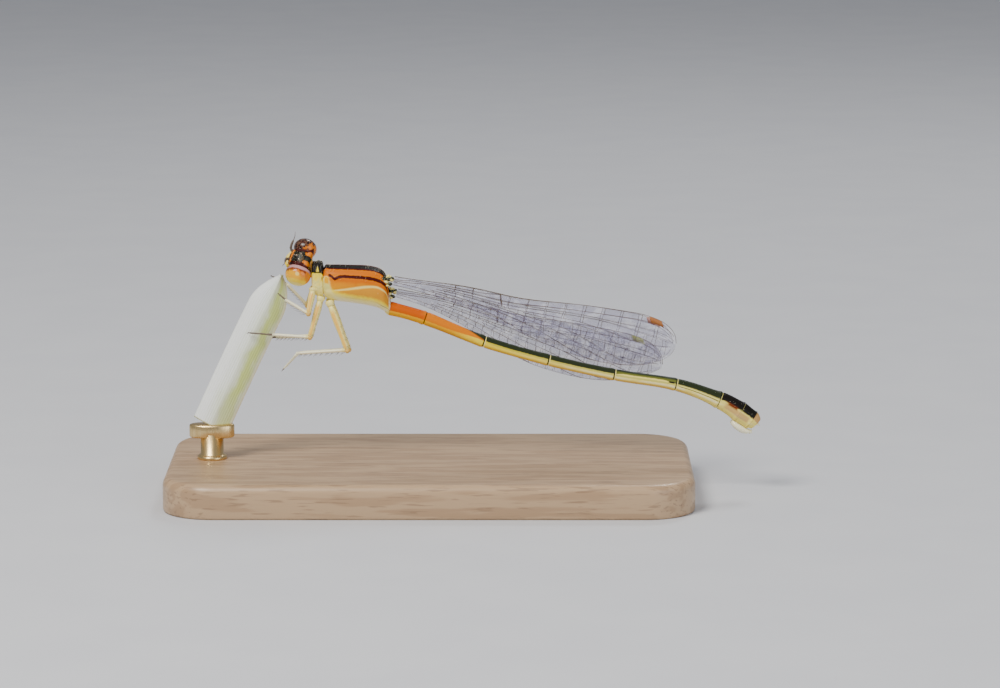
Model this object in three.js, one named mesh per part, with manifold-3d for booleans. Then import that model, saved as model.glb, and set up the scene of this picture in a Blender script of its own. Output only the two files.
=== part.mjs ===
// Young female forktail damselfly gripping the cut tip of a grass blade, life size,
// with its wings folded together. Millimetres, +Z up, head toward -X, the animal's
// left side toward -Y. The origin is the middle of the display base's underside.

import * as THREE from "three";
import { mergeVertices } from "three/addons/utils/BufferGeometryUtils.js";
import Module from "manifold-3d";

const wasm = await Module();
wasm.setup();

// Gap kept between neighbouring pieces
const GAP = 0.25;

// Display stand
const BASE_LENGTH = 31;
const BASE_WIDTH = 16;
const BASE_THICKNESS = 2;
const BASE_CORNER = 3;
const BASE_BEVEL = 0.3;
const ROD_RADIUS = 0.7;
const ROD_X = -12.95;
const CUP_RADIUS = [1.34, 0.66];
const CUP_HEIGHT = 0.75;

// Cut grass blade: its middle line from the cut foot to the tip
const BLADE_Y = 0.1;
const BLADE_FOOT_Z = 4.3;
const BLADE_LINE = [
  [-13.0, 4.3],
  [-11.75, 6.75],
  [-10.35, 9.7],
  [-9.45, 11.5],
  [-9.12, 12.15],
  [-8.85, 12.75],
  [-8.76, 13.0],
];
const BLADE_HALF_WIDTH = 1.12;
const BLADE_THICKNESS = 0.62;
const BLADE_FOLD = 0.16;
const BLADE_TIP_FROM = 0.78;
const BLADE_TIP_WIDTH = 0.12;

// Head: a wide capsule between two round eyes, rolled so that its top faces -Y
const HEAD_CENTRE = [-7.52, 0.1, 13.88];
const HEAD_RIGHTWARD = [0.319, 0.508, 0.8];
const HEAD_FORWARD = [-0.938, 0.287, 0.192];
const EYE_RADIUS = [0.66, 0.78, 0.74];
const EYE_OFFSET = 0.9;
const EYE_INNER_X = 0.44;
const CAPSULE = { radius: [1.22, 0.56, 0.6], centre: [0, -0.04, 0.02] };
const FACE = { radius: [0.56, 0.56, 0.56], centre: [0, 0.42, -0.16] };
const CLYPEUS = { radius: [0.47, 0.26, 0.27], centre: [0, 0.88, -0.3] };
const LABRUM = { radius: [0.5, 0.3, 0.26], centre: [0, 0.82, -0.6] };
const LABIUM = { radius: [0.4, 0.3, 0.2], centre: [0, 0.34, -0.72] };
const MOUTH = { radius: [0.54, 0.22, 0.05], centre: [0, 1.0, -0.44] };
const CHEEK = { radius: [0.26, 0.2, 0.34], centre: [0.4, 0.46, -0.46] };
const SOCKET = { radius: [0.17, 0.15, 0.16], centre: [0.26, 0.56, 0.3] };
const OCELLUS_RADIUS = [0.11, 0.11, 0.11];
const OCELLI = [[-0.2, 0.02, 0.58], [0.2, 0.02, 0.58], [0, 0.24, 0.58]];
const NECK_HOLLOW = { radius: [0.62, 0.62, 0.62], centre: [0, -1.02, -0.06] };
const ANTENNA = [[0.36, 0.8, 0.72], [0.56, 0.72, 0.88], [0.84, 0.68, 1.06], [1.2, 0.7, 1.24]];
const ANTENNA_RADII = [0.16, 0.14, 0.09, 0.05];

// Prothorax: a narrow collar with three dorsal lobes
const PROTHORAX_FRONT_X = -6.9;
const PROTHORAX_REAR_X = -6.36;
const PROTHORAX_Z = 12.84;
const PROTHORAX_HALF_WIDTH = 0.64;
const PROTHORAX_HALF_HEIGHT = 1.02;
const PROTHORAX_LOBE = 0.14;

// Pterothorax stations: x, middle z, half height, half width
const THORAX = [
  [-6.12, 12.68, 0.83, 0.7],
  [-5.95, 12.64, 0.98, 0.84],
  [-5.4, 12.58, 1.08, 0.96],
  [-4.6, 12.52, 1.12, 1.02],
  [-3.8, 12.44, 1.17, 1.04],
  [-3.15, 12.31, 1.19, 1.0],
  [-2.7, 12.11, 1.19, 0.9],
  [-2.46, 11.81, 1.09, 0.76],
];
const CARINA_HEIGHT = 0.07;
const SUTURE_DEPTH = 0.035;
const SUTURE_ANGLES = [0.9, 1.8];
const SUTURE_WIDTH = 0.12;
const BODY_ROUNDNESS = 0.86;
const HINGE_RADIUS = [0.3, 0.3, 0.34];

// Abdomen: its middle line, then each length's name, its first and last point on that
// line, and its radii from front to rear
const ABDOMEN_LINE = [
  [-2.2, -0.05, 10.95],
  [-1.3, -0.1, 10.74],
  [-0.26, -0.15, 10.47],
  [3.22, -0.3, 9.1],
  [7.03, -0.35, 8.0],
  [10.91, -0.35, 7.13],
  [14.56, -0.3, 6.52],
  [17.13, -0.2, 5.57],
  [18.34, -0.15, 4.85],
  [19.02, -0.1, 4.36],
  [19.28, -0.1, 4.1],
];
const ABDOMEN_PARTS = [
  ["abdomen_s1_s2", 0, 2, [0.42, 0.44, 0.4, 0.39, 0.4]],
  ["abdomen_s3", 2, 3, [0.37, 0.34, 0.34, 0.34, 0.37]],
  ["abdomen_s4", 3, 4, [0.34, 0.31, 0.31, 0.31, 0.35]],
  ["abdomen_s5", 4, 5, [0.33, 0.31, 0.3, 0.31, 0.35]],
  ["abdomen_s6", 5, 6, [0.34, 0.33, 0.34, 0.36, 0.4]],
  ["abdomen_s7", 6, 7, [0.38, 0.4, 0.43, 0.46, 0.5]],
  ["abdomen_tip", 7, 10, [0.5, 0.56, 0.59, 0.55, 0.34]],
];
const ABDOMEN_SIDES = 14;
const VALVE_RADIUS = 0.25;
const CERCUS_RADIUS = 0.1;
const CERCUS = [[-0.3, 0.14, 0.14], [0.05, 0.16, 0.04], [0.26, 0.15, -0.1]];
const VALVE = [[-1.3, 0, 0.15], [-0.7, 0, -0.34], [-0.22, 0, -0.36]];

// Wings: root, tip, sideways layer that each one lies in along the folded stack
const WING_THICKNESS = 0.46;
const VEIN_RELIEF = 0.07;
const WING_LEAN = 0.1;
const WING_SWAY_LENGTH = 6.5;
const FOREWING_TRAIL = { reach: 2.02, corner: 0.74, bow: 2, power: 0.5 };
const HINDWING_TRAIL = { reach: 2.2, corner: 0.6, bow: 2.6, power: 0.85 };
const WINGS = [
  { name: "forewing_left", root: [-2.12, -0.72, 12.8], tip: [14.53, 8.64], layer: 0.5, scale: 1.0, hind: FOREWING_TRAIL },
  { name: "hindwing_left", root: [-1.95, -0.22, 12.0], tip: [13.75, 7.24], layer: 1.38, scale: 0.97, hind: HINDWING_TRAIL },
  { name: "hindwing_right", root: [-1.95, 0.36, 11.9], tip: [13.68, 7.12], layer: 2.2, scale: 0.97, hind: HINDWING_TRAIL },
  { name: "forewing_right", root: [-2.12, 0.86, 12.55], tip: [14.4, 8.24], layer: 2.94, scale: 1.0, hind: FOREWING_TRAIL },
];
const WING_COLUMNS = 30;
const WING_LEAD = 1.42;
const WING_ROOT = 0.26;
const LEAD_CORNER = 0.84;
const LEAD_DIP = { depth: 0.29, at: 0.44, width: 0.17 };
const VEIN_ROWS = [0, 0.05, 0.11, 0.2, 0.3, 0.41, 0.52, 0.64, 0.76, 0.89, 1];
const NODUS_AT = 0.37;
const NODUS_WIDTH = 0.018;
const PTEROSTIGMA = [0.885, 0.935];

// Legs: joint points from the hip to the claws, seen from the left side
const FEMUR_RADIUS = 0.25;
const TIBIA_RADIUS = 0.25;
const TARSUS_RADIUS = 0.17;
const CLAW_RADIUS = 0.09;
const LEG_SIDES = 8;
const LEGS = {
  foreleg_left: [[-7.12, -0.88, 11.95], [-7.12, -1.2, 10.9], [-8.45, -0.78, 11.66], [-8.86, -0.68, 11.96]],
  foreleg_right: [[-7.06, 0.88, 11.85], [-7.3, 1.2, 11.0], [-8.5, 0.98, 12.35], [-9.3, 0.85, 12.82]],
  midleg_left: [[-6.5, -0.6, 11.42], [-7.04, -1.25, 9.5], [-9.21, -0.85, 9.6], [-10.63, -0.75, 9.67]],
  midleg_right: [[-6.5, 0.6, 11.35], [-7.1, 1.25, 9.15], [-9.1, 1.02, 9.13], [-10.4, 0.96, 9.16]],
  hindleg_left: [[-5.82, -0.55, 11.2], [-4.84, -1.45, 8.75], [-7.8, -1.15, 8.55], [-8.62, -1.0, 7.6]],
  hindleg_right: [[-5.82, 0.55, 11.2], [-4.84, 1.45, 8.3], [-7.8, 1.25, 8.15], [-8.62, 1.1, 7.3]],
};

const FLESH = { orange: 0xe07a1c, cream: 0xf0e2b0, olive: 0x5c5a2a, dark: 0x2a1c14 };
const model = new THREE.Group();

function material(colour, roughness = 0.45, metalness = 0) {
  return new THREE.MeshStandardMaterial({ color: colour, roughness, metalness });
}

function place(name, geometry, colour, roughness) {
  const mesh = new THREE.Mesh(geometry, material(colour, roughness));
  mesh.name = name;
  model.add(mesh);
  return mesh;
}

function vector(point) {
  return new THREE.Vector3(...point);
}

function smoothstep(value) {
  const t = Math.min(Math.max(value, 0), 1);
  return t * t * (3 - 2 * t);
}

// Closed body through rings of equal length, with a fan of triangles at each end
function loft(rings) {
  const count = rings[0].length;
  const positions = [];
  const index = [];
  for (const ring of rings) {
    for (const point of ring) positions.push(point.x, point.y, point.z);
  }
  for (let row = 0; row < rings.length - 1; row += 1) {
    for (let column = 0; column < count; column += 1) {
      const next = (column + 1) % count;
      const a = row * count + column;
      const b = row * count + next;
      const c = (row + 1) * count + column;
      const d = (row + 1) * count + next;
      index.push(a, b, d, a, d, c);
    }
  }
  for (const [row, flip] of [[0, true], [rings.length - 1, false]]) {
    const middle = new THREE.Vector3();
    for (const point of rings[row]) middle.addScaledVector(point, 1 / count);
    const apex = positions.length / 3;
    positions.push(middle.x, middle.y, middle.z);
    for (let column = 0; column < count; column += 1) {
      const a = row * count + column;
      const b = row * count + (column + 1) % count;
      if (flip) index.push(apex, b, a);
      else index.push(apex, a, b);
    }
  }
  return outward(positions, index);
}

// Geometry from positions and triangles, turned so that its faces point out
function outward(positions, index) {
  let volume = 0;
  const corner = (i) => vector(positions.slice(index[i] * 3, index[i] * 3 + 3));
  for (let i = 0; i < index.length; i += 3) {
    volume += corner(i).dot(corner(i + 1).cross(corner(i + 2)));
  }
  if (volume < 0) {
    for (let i = 0; i < index.length; i += 3) {
      [index[i + 1], index[i + 2]] = [index[i + 2], index[i + 1]];
    }
  }
  const geometry = new THREE.BufferGeometry();
  geometry.setAttribute("position", new THREE.Float32BufferAttribute(positions, 3));
  geometry.setIndex(index);
  return geometry;
}

// Closed round tube along points, with one radius for each point
function limb(points, radii, sides = 8) {
  const rings = points.map((point, i) => {
    const before = points[Math.max(i - 1, 0)];
    const after = points[Math.min(i + 1, points.length - 1)];
    const along = after.clone().sub(before).normalize();
    const side = new THREE.Vector3(0, 1, 0).cross(along).normalize();
    const other = along.clone().cross(side);
    const ring = [];
    for (let k = 0; k < sides; k += 1) {
      const angle = (2 * Math.PI * k) / sides;
      ring.push(point.clone()
        .addScaledVector(side, radii[i] * Math.cos(angle))
        .addScaledVector(other, radii[i] * Math.sin(angle)));
    }
    return ring;
  });
  return loft(rings);
}

function toSolid(geometry) {
  const plain = geometry.clone();
  plain.deleteAttribute("normal");
  plain.deleteAttribute("uv");
  const merged = mergeVertices(plain, 1e-5);
  return new wasm.Manifold(new wasm.Mesh({
    numProp: 3,
    vertProperties: new Float32Array(merged.attributes.position.array),
    triVerts: new Uint32Array(merged.index.array),
  }));
}

function fromSolid(solid) {
  const pieces = solid.decompose();
  const largest = pieces.reduce((best, piece) => (piece.volume() > best.volume() ? piece : best));
  const mesh = largest.getMesh();
  const geometry = new THREE.BufferGeometry();
  geometry.setAttribute("position", new THREE.Float32BufferAttribute(mesh.vertProperties, 3));
  geometry.setIndex(Array.from(mesh.triVerts));
  return geometry;
}

function join(geometries, cutters = []) {
  let solid = geometries.map(toSolid).reduce((sum, piece) => sum.add(piece));
  for (const cutter of cutters) solid = solid.subtract(toSolid(cutter));
  return fromSolid(solid);
}

function ellipsoid({ radius, centre }, columns = 20, rows = 12, grow = 0) {
  const geometry = new THREE.SphereGeometry(1, columns, rows);
  geometry.scale(radius[0] + grow, radius[1] + grow, radius[2] + grow);
  geometry.translate(...centre);
  return geometry;
}

// Display stand: a flat base with rounded corners and one short rod under the blade
function buildStand() {
  const x = BASE_LENGTH / 2 - BASE_BEVEL;
  const y = BASE_WIDTH / 2 - BASE_BEVEL;
  const outline = new THREE.Shape();
  outline.moveTo(-x + BASE_CORNER, -y);
  outline.lineTo(x - BASE_CORNER, -y);
  outline.absarc(x - BASE_CORNER, -y + BASE_CORNER, BASE_CORNER, -Math.PI / 2, 0);
  outline.absarc(x - BASE_CORNER, y - BASE_CORNER, BASE_CORNER, 0, Math.PI / 2);
  outline.absarc(-x + BASE_CORNER, y - BASE_CORNER, BASE_CORNER, Math.PI / 2, Math.PI);
  outline.absarc(-x + BASE_CORNER, -y + BASE_CORNER, BASE_CORNER, Math.PI, 1.5 * Math.PI);
  const base = new THREE.ExtrudeGeometry(outline, {
    depth: BASE_THICKNESS - 2 * BASE_BEVEL,
    bevelThickness: BASE_BEVEL,
    bevelSize: BASE_BEVEL,
    bevelSegments: 1,
    curveSegments: 5,
  });
  base.translate(0, 0, BASE_BEVEL);
  place("stand_base", base, 0xb08a60, 0.5);

  const foot = BASE_THICKNESS + GAP;
  const top = BLADE_FOOT_Z - GAP;
  const rod = new THREE.CylinderGeometry(ROD_RADIUS, ROD_RADIUS, top - foot, 24);
  rod.rotateX(Math.PI / 2);
  rod.translate(ROD_X, BLADE_Y, (foot + top) / 2);
  const cup = new THREE.CylinderGeometry(1, 1, CUP_HEIGHT, 28);
  cup.rotateX(Math.PI / 2);
  cup.scale(...CUP_RADIUS, 1);
  cup.translate(ROD_X, BLADE_Y, top - CUP_HEIGHT / 2);
  place("stand_rod", join([rod, cup]), 0xb8a06a, 0.35);
}

// Grass blade: a shallow folded strip, flat to the viewer, cut level at its foot
function buildBlade() {
  const line = new THREE.CatmullRomCurve3(BLADE_LINE.map(([x, z]) => new THREE.Vector3(x, BLADE_Y, z)));
  const stations = 20;
  const rings = [];
  for (let i = 0; i <= stations; i += 1) {
    const t = i / stations;
    const point = line.getPointAt(t);
    const along = line.getTangentAt(t);
    const across = new THREE.Vector3(0, 1, 0).cross(along).normalize();
    const tip = Math.max((t - BLADE_TIP_FROM) / (1 - BLADE_TIP_FROM), 0);
    const taper = Math.max((1 - tip ** 1.8) ** 0.8, BLADE_TIP_WIDTH);
    const half = BLADE_HALF_WIDTH * taper;
    const ring = [];
    for (const [side, columns] of [[-1, [-1, -0.5, 0, 0.5]], [1, [1, 0.5, 0, -0.5]]]) {
      for (const column of columns) {
        const fold = BLADE_FOLD * (Math.abs(column) * 2 - 1);
        const edge = 1 - 0.45 * Math.pow(Math.abs(column), 3);
        ring.push(point.clone()
          .addScaledVector(across, column * half)
          .add(new THREE.Vector3(0, fold + side * BLADE_THICKNESS * 0.5 * edge, 0)));
      }
    }
    rings.push(ring);
  }
  for (const point of rings[0]) point.z = BLADE_FOOT_Z;
  place("perch_grass_blade", loft(rings), 0xdde6b4, 0.5);
}

// Head in its own frame: x to the animal's right, y forward, z dorsal
function headMatrix() {
  const right = vector(HEAD_RIGHTWARD).normalize();
  const dorsal = right.clone().cross(vector(HEAD_FORWARD)).normalize();
  const forward = dorsal.clone().cross(right);
  const matrix = new THREE.Matrix4().makeBasis(right, forward, dorsal);
  return matrix.setPosition(...HEAD_CENTRE);
}

// The same form on the animal's right (side 1) or left (side -1)
function mirrored({ radius, centre: [x, y, z] }, side) {
  return { radius, centre: [side * x, y, z] };
}

function buildHead() {
  const matrix = headMatrix();
  const pieces = [
    ellipsoid(CAPSULE, 26, 14),
    ellipsoid(FACE),
    ellipsoid(CLYPEUS, 16, 10),
    ellipsoid(LABRUM, 16, 10),
    ellipsoid(LABIUM, 16, 8),
    ...OCELLI.map((centre) => ellipsoid({ radius: OCELLUS_RADIUS, centre }, 8, 6)),
  ];
  const cutters = [ellipsoid(MOUTH, 16, 6), ellipsoid(NECK_HOLLOW, 18, 10)];
  const eyeForm = { radius: EYE_RADIUS, centre: [EYE_OFFSET, 0, 0] };
  for (const side of [-1, 1]) {
    pieces.push(ellipsoid(mirrored(SOCKET, side), 10, 6));
    pieces.push(ellipsoid(mirrored(CHEEK, side), 12, 8));
    const form = mirrored(eyeForm, side);
    cutters.push(join([ellipsoid(form, 18, 12, GAP * 0.8)], [innerBlock(side, EYE_INNER_X - GAP)]));
  }
  const head = join(pieces, cutters);
  head.applyMatrix4(matrix);
  place("head", head, FLESH.orange);

  for (const [side, label] of [[-1, "left"], [1, "right"]]) {
    const eye = join([ellipsoid(mirrored(eyeForm, side), 20, 14)], [innerBlock(side, EYE_INNER_X)]);
    eye.applyMatrix4(matrix);
    place(`eye_${label}`, eye, 0xd8801e, 0.15);
    const stem = ANTENNA.map(([x, y, z]) => vector([side * x, y, z]));
    const antenna = limb(stem, ANTENNA_RADII);
    antenna.applyMatrix4(matrix);
    place(`antenna_${label}`, antenna, FLESH.dark);
  }
}

// Block over everything on the inner side of an eye's flat inner face
function innerBlock(side, x) {
  const block = new THREE.BoxGeometry(2, 2, 2);
  block.translate(side * (x - 1), 0, 0);
  return block;
}

// Ring across the body: superellipse with its own half height and half width
function bodyRing(x, y, z, height, width, sides, relief = () => 0) {
  const ring = [];
  for (let k = 0; k < sides; k += 1) {
    const angle = (2 * Math.PI * k) / sides;
    const cosine = Math.cos(angle);
    const sine = Math.sin(angle);
    const grow = 1 + relief(angle);
    const across = Math.sign(sine) * Math.pow(Math.abs(sine), BODY_ROUNDNESS) * width * grow;
    const up = Math.sign(cosine) * Math.pow(Math.abs(cosine), BODY_ROUNDNESS) * height * grow;
    ring.push(new THREE.Vector3(x, y + across, z + up));
  }
  return ring;
}

function buildProthorax() {
  const stations = 6;
  const rings = [];
  for (let i = 0; i <= stations; i += 1) {
    const t = i / stations;
    const x = PROTHORAX_FRONT_X + (PROTHORAX_REAR_X - PROTHORAX_FRONT_X) * t;
    const lobe = 1 - PROTHORAX_LOBE + PROTHORAX_LOBE * Math.abs(Math.sin(Math.PI * (0.25 + 2 * t)));
    const height = PROTHORAX_HALF_HEIGHT * lobe;
    rings.push(bodyRing(x, 0, PROTHORAX_Z, height, PROTHORAX_HALF_WIDTH * lobe, 18));
  }
  place("prothorax", loft(rings), FLESH.orange);
}

function buildThorax() {
  const sides = 28;
  const relief = (angle) => {
    const fromTop = Math.min(angle, 2 * Math.PI - angle);
    const carina = fromTop < 0.1 ? CARINA_HEIGHT : 0;
    const inSuture = SUTURE_ANGLES.some((at) => Math.abs(fromTop - at) < SUTURE_WIDTH);
    return carina - (inSuture ? SUTURE_DEPTH : 0);
  };
  const rings = THORAX.map(([x, z, height, width]) => bodyRing(x, 0, z, height, width, sides, relief));
  const body = loft(rings);
  const hinges = WINGS.map(({ root: [x, y, z] }) => (
    ellipsoid({ radius: HINGE_RADIUS, centre: [x - 0.5, y * 0.8, z] }, 12, 8)
  ));
  const clear = WINGS.map(({ root }) => {
    const box = new THREE.BoxGeometry(1, 1.2, 1.2);
    box.translate(root[0] - GAP + 0.5, root[1], root[2]);
    return box;
  });
  place("thorax", join([body, ...hinges], clear), FLESH.orange);
}

// One length of the abdomen along its middle line, with a gap before the next
function buildAbdomen() {
  const line = new THREE.CatmullRomCurve3(ABDOMEN_LINE.map(vector));
  const last = ABDOMEN_LINE.length - 1;
  for (const [name, first, end, radii] of ABDOMEN_PARTS) {
    const isTip = end === last;
    const cut = isTip ? 0 : GAP / vector(ABDOMEN_LINE[end]).distanceTo(vector(ABDOMEN_LINE[end - 1]));
    const stations = isTip ? 10 : 6;
    const points = [];
    const widths = [];
    for (let i = 0; i <= stations; i += 1) {
      const t = i / stations;
      points.push(line.getPoint((first + (end - cut - first) * t) / last));
      const spot = t * (radii.length - 1);
      const step = Math.min(Math.floor(spot), radii.length - 2);
      widths.push(THREE.MathUtils.lerp(radii[step], radii[step + 1], spot - step));
    }
    const body = limb(points, widths, ABDOMEN_SIDES);
    if (!isTip) {
      place(name, body, first < 3 ? FLESH.orange : FLESH.olive);
      continue;
    }
    const tail = points[points.length - 1];
    const pieces = [body];
    for (const side of [-1, 1]) {
      const cercus = CERCUS.map(([x, y, z]) => tail.clone().add(vector([x, side * y, z])));
      pieces.push(limb(cercus, [CERCUS_RADIUS, CERCUS_RADIUS * 1.2, 0.04], 6));
    }
    const valve = VALVE.map((point) => tail.clone().add(vector(point)));
    pieces.push(limb(valve, [VALVE_RADIUS, VALVE_RADIUS, 0.1], 9));
    place(name, join(pieces), FLESH.dark);
  }
}

// Height of a wing's leading edge above its middle line
function wingLead(t) {
  if (t >= LEAD_CORNER) return WING_LEAD * Math.sqrt(Math.max(1 - ((t - LEAD_CORNER) / (1 - LEAD_CORNER)) ** 3, 0));
  const dip = LEAD_DIP.depth * Math.exp(-(((t - LEAD_DIP.at) / LEAD_DIP.width) ** 2));
  return WING_ROOT + (WING_LEAD - WING_ROOT) * (t / LEAD_CORNER) - dip;
}

// Depth of a wing's trailing edge below its middle line
function wingTrail(t, { reach, corner, bow, power }) {
  if (t >= corner) return reach * Math.max(1 - ((t - corner) / (1 - corner)) ** bow, 0) ** power;
  return WING_ROOT + (reach - WING_ROOT) * smoothstep((t - 0.03) / (corner - 0.03));
}

// Vein ridge over the membrane at one row and place along the wing
function veinRelief(row, t) {
  const isVein = row % 2 === 0;
  const fade = smoothstep((t - 0.04) / 0.12) * (1 - 0.6 * smoothstep((t - 0.9) / 0.1));
  const onStigma = t > PTEROSTIGMA[0] && t < PTEROSTIGMA[1] && row <= 2;
  const onNodus = Math.abs(t - NODUS_AT) < NODUS_WIDTH && row <= 4;
  if (onStigma || onNodus) return VEIN_RELIEF;
  return isVein ? VEIN_RELIEF * fade : 0;
}

function buildWing({ name, root, tip, layer, scale, hind }) {
  const start = vector(root);
  const span = Math.hypot(tip[0] - root[0], tip[1] - root[2]);
  const axis = new THREE.Vector3(tip[0] - root[0], 0, tip[1] - root[2]).normalize();
  const down = new THREE.Vector3(axis.z, 0, -axis.x);
  const rows = VEIN_ROWS.length;
  const positions = [];
  for (const face of [-1, 1]) {
    for (let i = 0; i <= WING_COLUMNS; i += 1) {
      const t = 1 - (1 - i / WING_COLUMNS) ** 1.12 * 0.997;
      const lead = Math.max(wingLead(t) * scale, 0.1);
      const trail = Math.max(wingTrail(t, hind) * scale, 0.1);
      const sway = (layer - root[1]) * smoothstep((t * span) / WING_SWAY_LENGTH);
      for (let row = 0; row < rows; row += 1) {
        const drop = -lead + (lead + trail) * VEIN_ROWS[row];
        const thick = WING_THICKNESS * 0.5 * (1 - 0.3 * smoothstep((t - 0.9) / 0.1));
        const side = face * (thick + veinRelief(row, t));
        const point = start.clone()
          .addScaledVector(axis, t * span)
          .addScaledVector(down, drop)
          .add(new THREE.Vector3(0, sway + drop * WING_LEAN + side, 0));
        positions.push(point.x, point.y, point.z);
      }
    }
  }
  const perFace = (WING_COLUMNS + 1) * rows;
  const index = [];
  const quad = (a, b, c, d) => index.push(a, b, c, a, c, d);
  for (let i = 0; i < WING_COLUMNS; i += 1) {
    for (let row = 0; row < rows - 1; row += 1) {
      const a = i * rows + row;
      const b = a + 1;
      const c = a + rows + 1;
      const d = a + rows;
      index.push(a, b, c, a, c, d);
      index.push(perFace + a, perFace + c, perFace + b, perFace + a, perFace + d, perFace + c);
    }
    for (const row of [0, rows - 1]) {
      const a = i * rows + row;
      const d = a + rows;
      if (row === 0) quad(a, d, perFace + d, perFace + a);
      else quad(a, perFace + a, perFace + d, d);
    }
  }
  for (const i of [0, WING_COLUMNS]) {
    for (let row = 0; row < rows - 1; row += 1) {
      const a = i * rows + row;
      const b = a + 1;
      if (i === 0) quad(a, perFace + a, perFace + b, b);
      else quad(a, b, perFace + b, perFace + a);
    }
  }
  place(name, outward(positions, index), 0xb9b4c4, 0.25);
}

// A leg bends at the knee and at the ankle, and thins toward its claws
function buildLegs() {
  for (const [name, joints] of Object.entries(LEGS)) {
    const [hip, knee, ankle, claw] = joints.map(vector);
    const ball = { radius: [TIBIA_RADIUS, TIBIA_RADIUS, TIBIA_RADIUS], centre: joints[1] };
    const foot = { radius: [TARSUS_RADIUS, TARSUS_RADIUS, TARSUS_RADIUS], centre: joints[2] };
    const pieces = [
      limb([hip, knee], [FEMUR_RADIUS, FEMUR_RADIUS * 0.97], LEG_SIDES),
      ellipsoid(ball, 10, 8),
      limb([knee, ankle], [TIBIA_RADIUS * 0.98, TARSUS_RADIUS * 1.2], LEG_SIDES),
      ellipsoid(foot, 9, 6),
      limb([ankle, claw], [TARSUS_RADIUS * 0.98, CLAW_RADIUS], LEG_SIDES),
    ];
    place(name, join(pieces), FLESH.cream);
  }
}

buildStand();
buildBlade();
buildHead();
buildProthorax();
buildThorax();
buildAbdomen();
for (const wing of WINGS) buildWing(wing);
buildLegs();

export default model;
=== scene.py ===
"""Dresses a life-size young female forktail damselfly that grips a cut grass blade.

Sizes are in millimetres in the frame of the solids: +Z up, head toward -X, the animal's
left side toward -Y. Meshes are drafted in millimetres and scaled to metres when they are made.
"""

import logging
import math
import random
from dataclasses import dataclass, field
from enum import Enum
from typing import Callable, Iterable, Sequence, Union

import bpy
from mathutils import Matrix, Vector


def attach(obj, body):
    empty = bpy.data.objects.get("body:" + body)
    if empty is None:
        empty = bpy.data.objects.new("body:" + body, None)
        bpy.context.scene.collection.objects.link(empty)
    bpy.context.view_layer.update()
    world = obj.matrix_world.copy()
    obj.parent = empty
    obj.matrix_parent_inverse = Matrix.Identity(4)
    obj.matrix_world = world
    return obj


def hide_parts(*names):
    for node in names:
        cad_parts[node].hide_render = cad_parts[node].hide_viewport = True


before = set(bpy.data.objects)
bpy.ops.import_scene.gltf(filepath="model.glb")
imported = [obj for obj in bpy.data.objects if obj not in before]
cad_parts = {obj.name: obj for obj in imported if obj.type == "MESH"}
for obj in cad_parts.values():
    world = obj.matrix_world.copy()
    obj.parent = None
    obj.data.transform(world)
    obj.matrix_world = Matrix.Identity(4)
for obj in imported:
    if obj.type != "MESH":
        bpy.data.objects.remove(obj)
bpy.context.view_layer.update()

MM = 0.001
BODY = "root"
PLACE = "place"
HAIR_MAP = "OFBake"
PATCH = 0.003
SIDES = ((-1, "left"), (1, "right"))
LOG = logging.getLogger("damselfly")

Colour = tuple[float, float, float]
Ring = list[Vector]
Tint = Union[bpy.types.NodeSocket, "Wax", Colour]


def smoothstep(value: float) -> float:
    """Return the smooth 0 to 1 step of a value."""
    t = min(max(value, 0.0), 1.0)
    return t * t * (3.0 - 2.0 * t)


def mixed(first: float, second: float, share: float) -> float:
    """Return the number that lies a share of the way from first to second."""
    return first + (second - first) * share


def spline(stations: Sequence[Sequence[float]], t: float) -> list[float]:
    """Read a smooth curve through evenly counted stations.

    Args:
        stations: Rows of numbers that the curve passes through.
        t: Place along the curve, 0 at the first row and 1 at the last.

    Returns:
        The row of numbers at that place.
    """
    last = len(stations) - 1
    at = min(max(t, 0.0), 1.0) * last
    i = min(int(at), last - 1)
    u = at - i
    rows = [stations[max(i - 1, 0)], stations[i], stations[i + 1], stations[min(i + 2, last)]]
    return [
        b + 0.5 * u * (c - a + u * (2 * a - 5 * b + 4 * c - d + u * (3 * b - a - 3 * c + d)))
        for a, b, c, d in zip(*rows)
    ]


def evenly(stations: Sequence[Sequence[float]], count: int) -> list[list[float]]:
    """Return rows along a smooth curve that lie equally far apart.

    Args:
        stations: Rows of numbers that the curve passes through.
        count: How many steps the curve is divided into.

    Returns:
        One row more than the steps.
    """
    fine = [spline(stations, i / 400) for i in range(401)]
    reach = [0.0]
    for before, after in zip(fine, fine[1:]):
        reach.append(reach[-1] + math.dist(before, after))
    rows, at = [], 0
    for i in range(count + 1):
        goal = reach[-1] * i / count
        while at < 399 and reach[at + 1] < goal:
            at += 1
        share = (goal - reach[at]) / (reach[at + 1] - reach[at])
        rows.append([mixed(a, b, min(share, 1.0)) for a, b in zip(fine[at], fine[at + 1])])
    return rows


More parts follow.
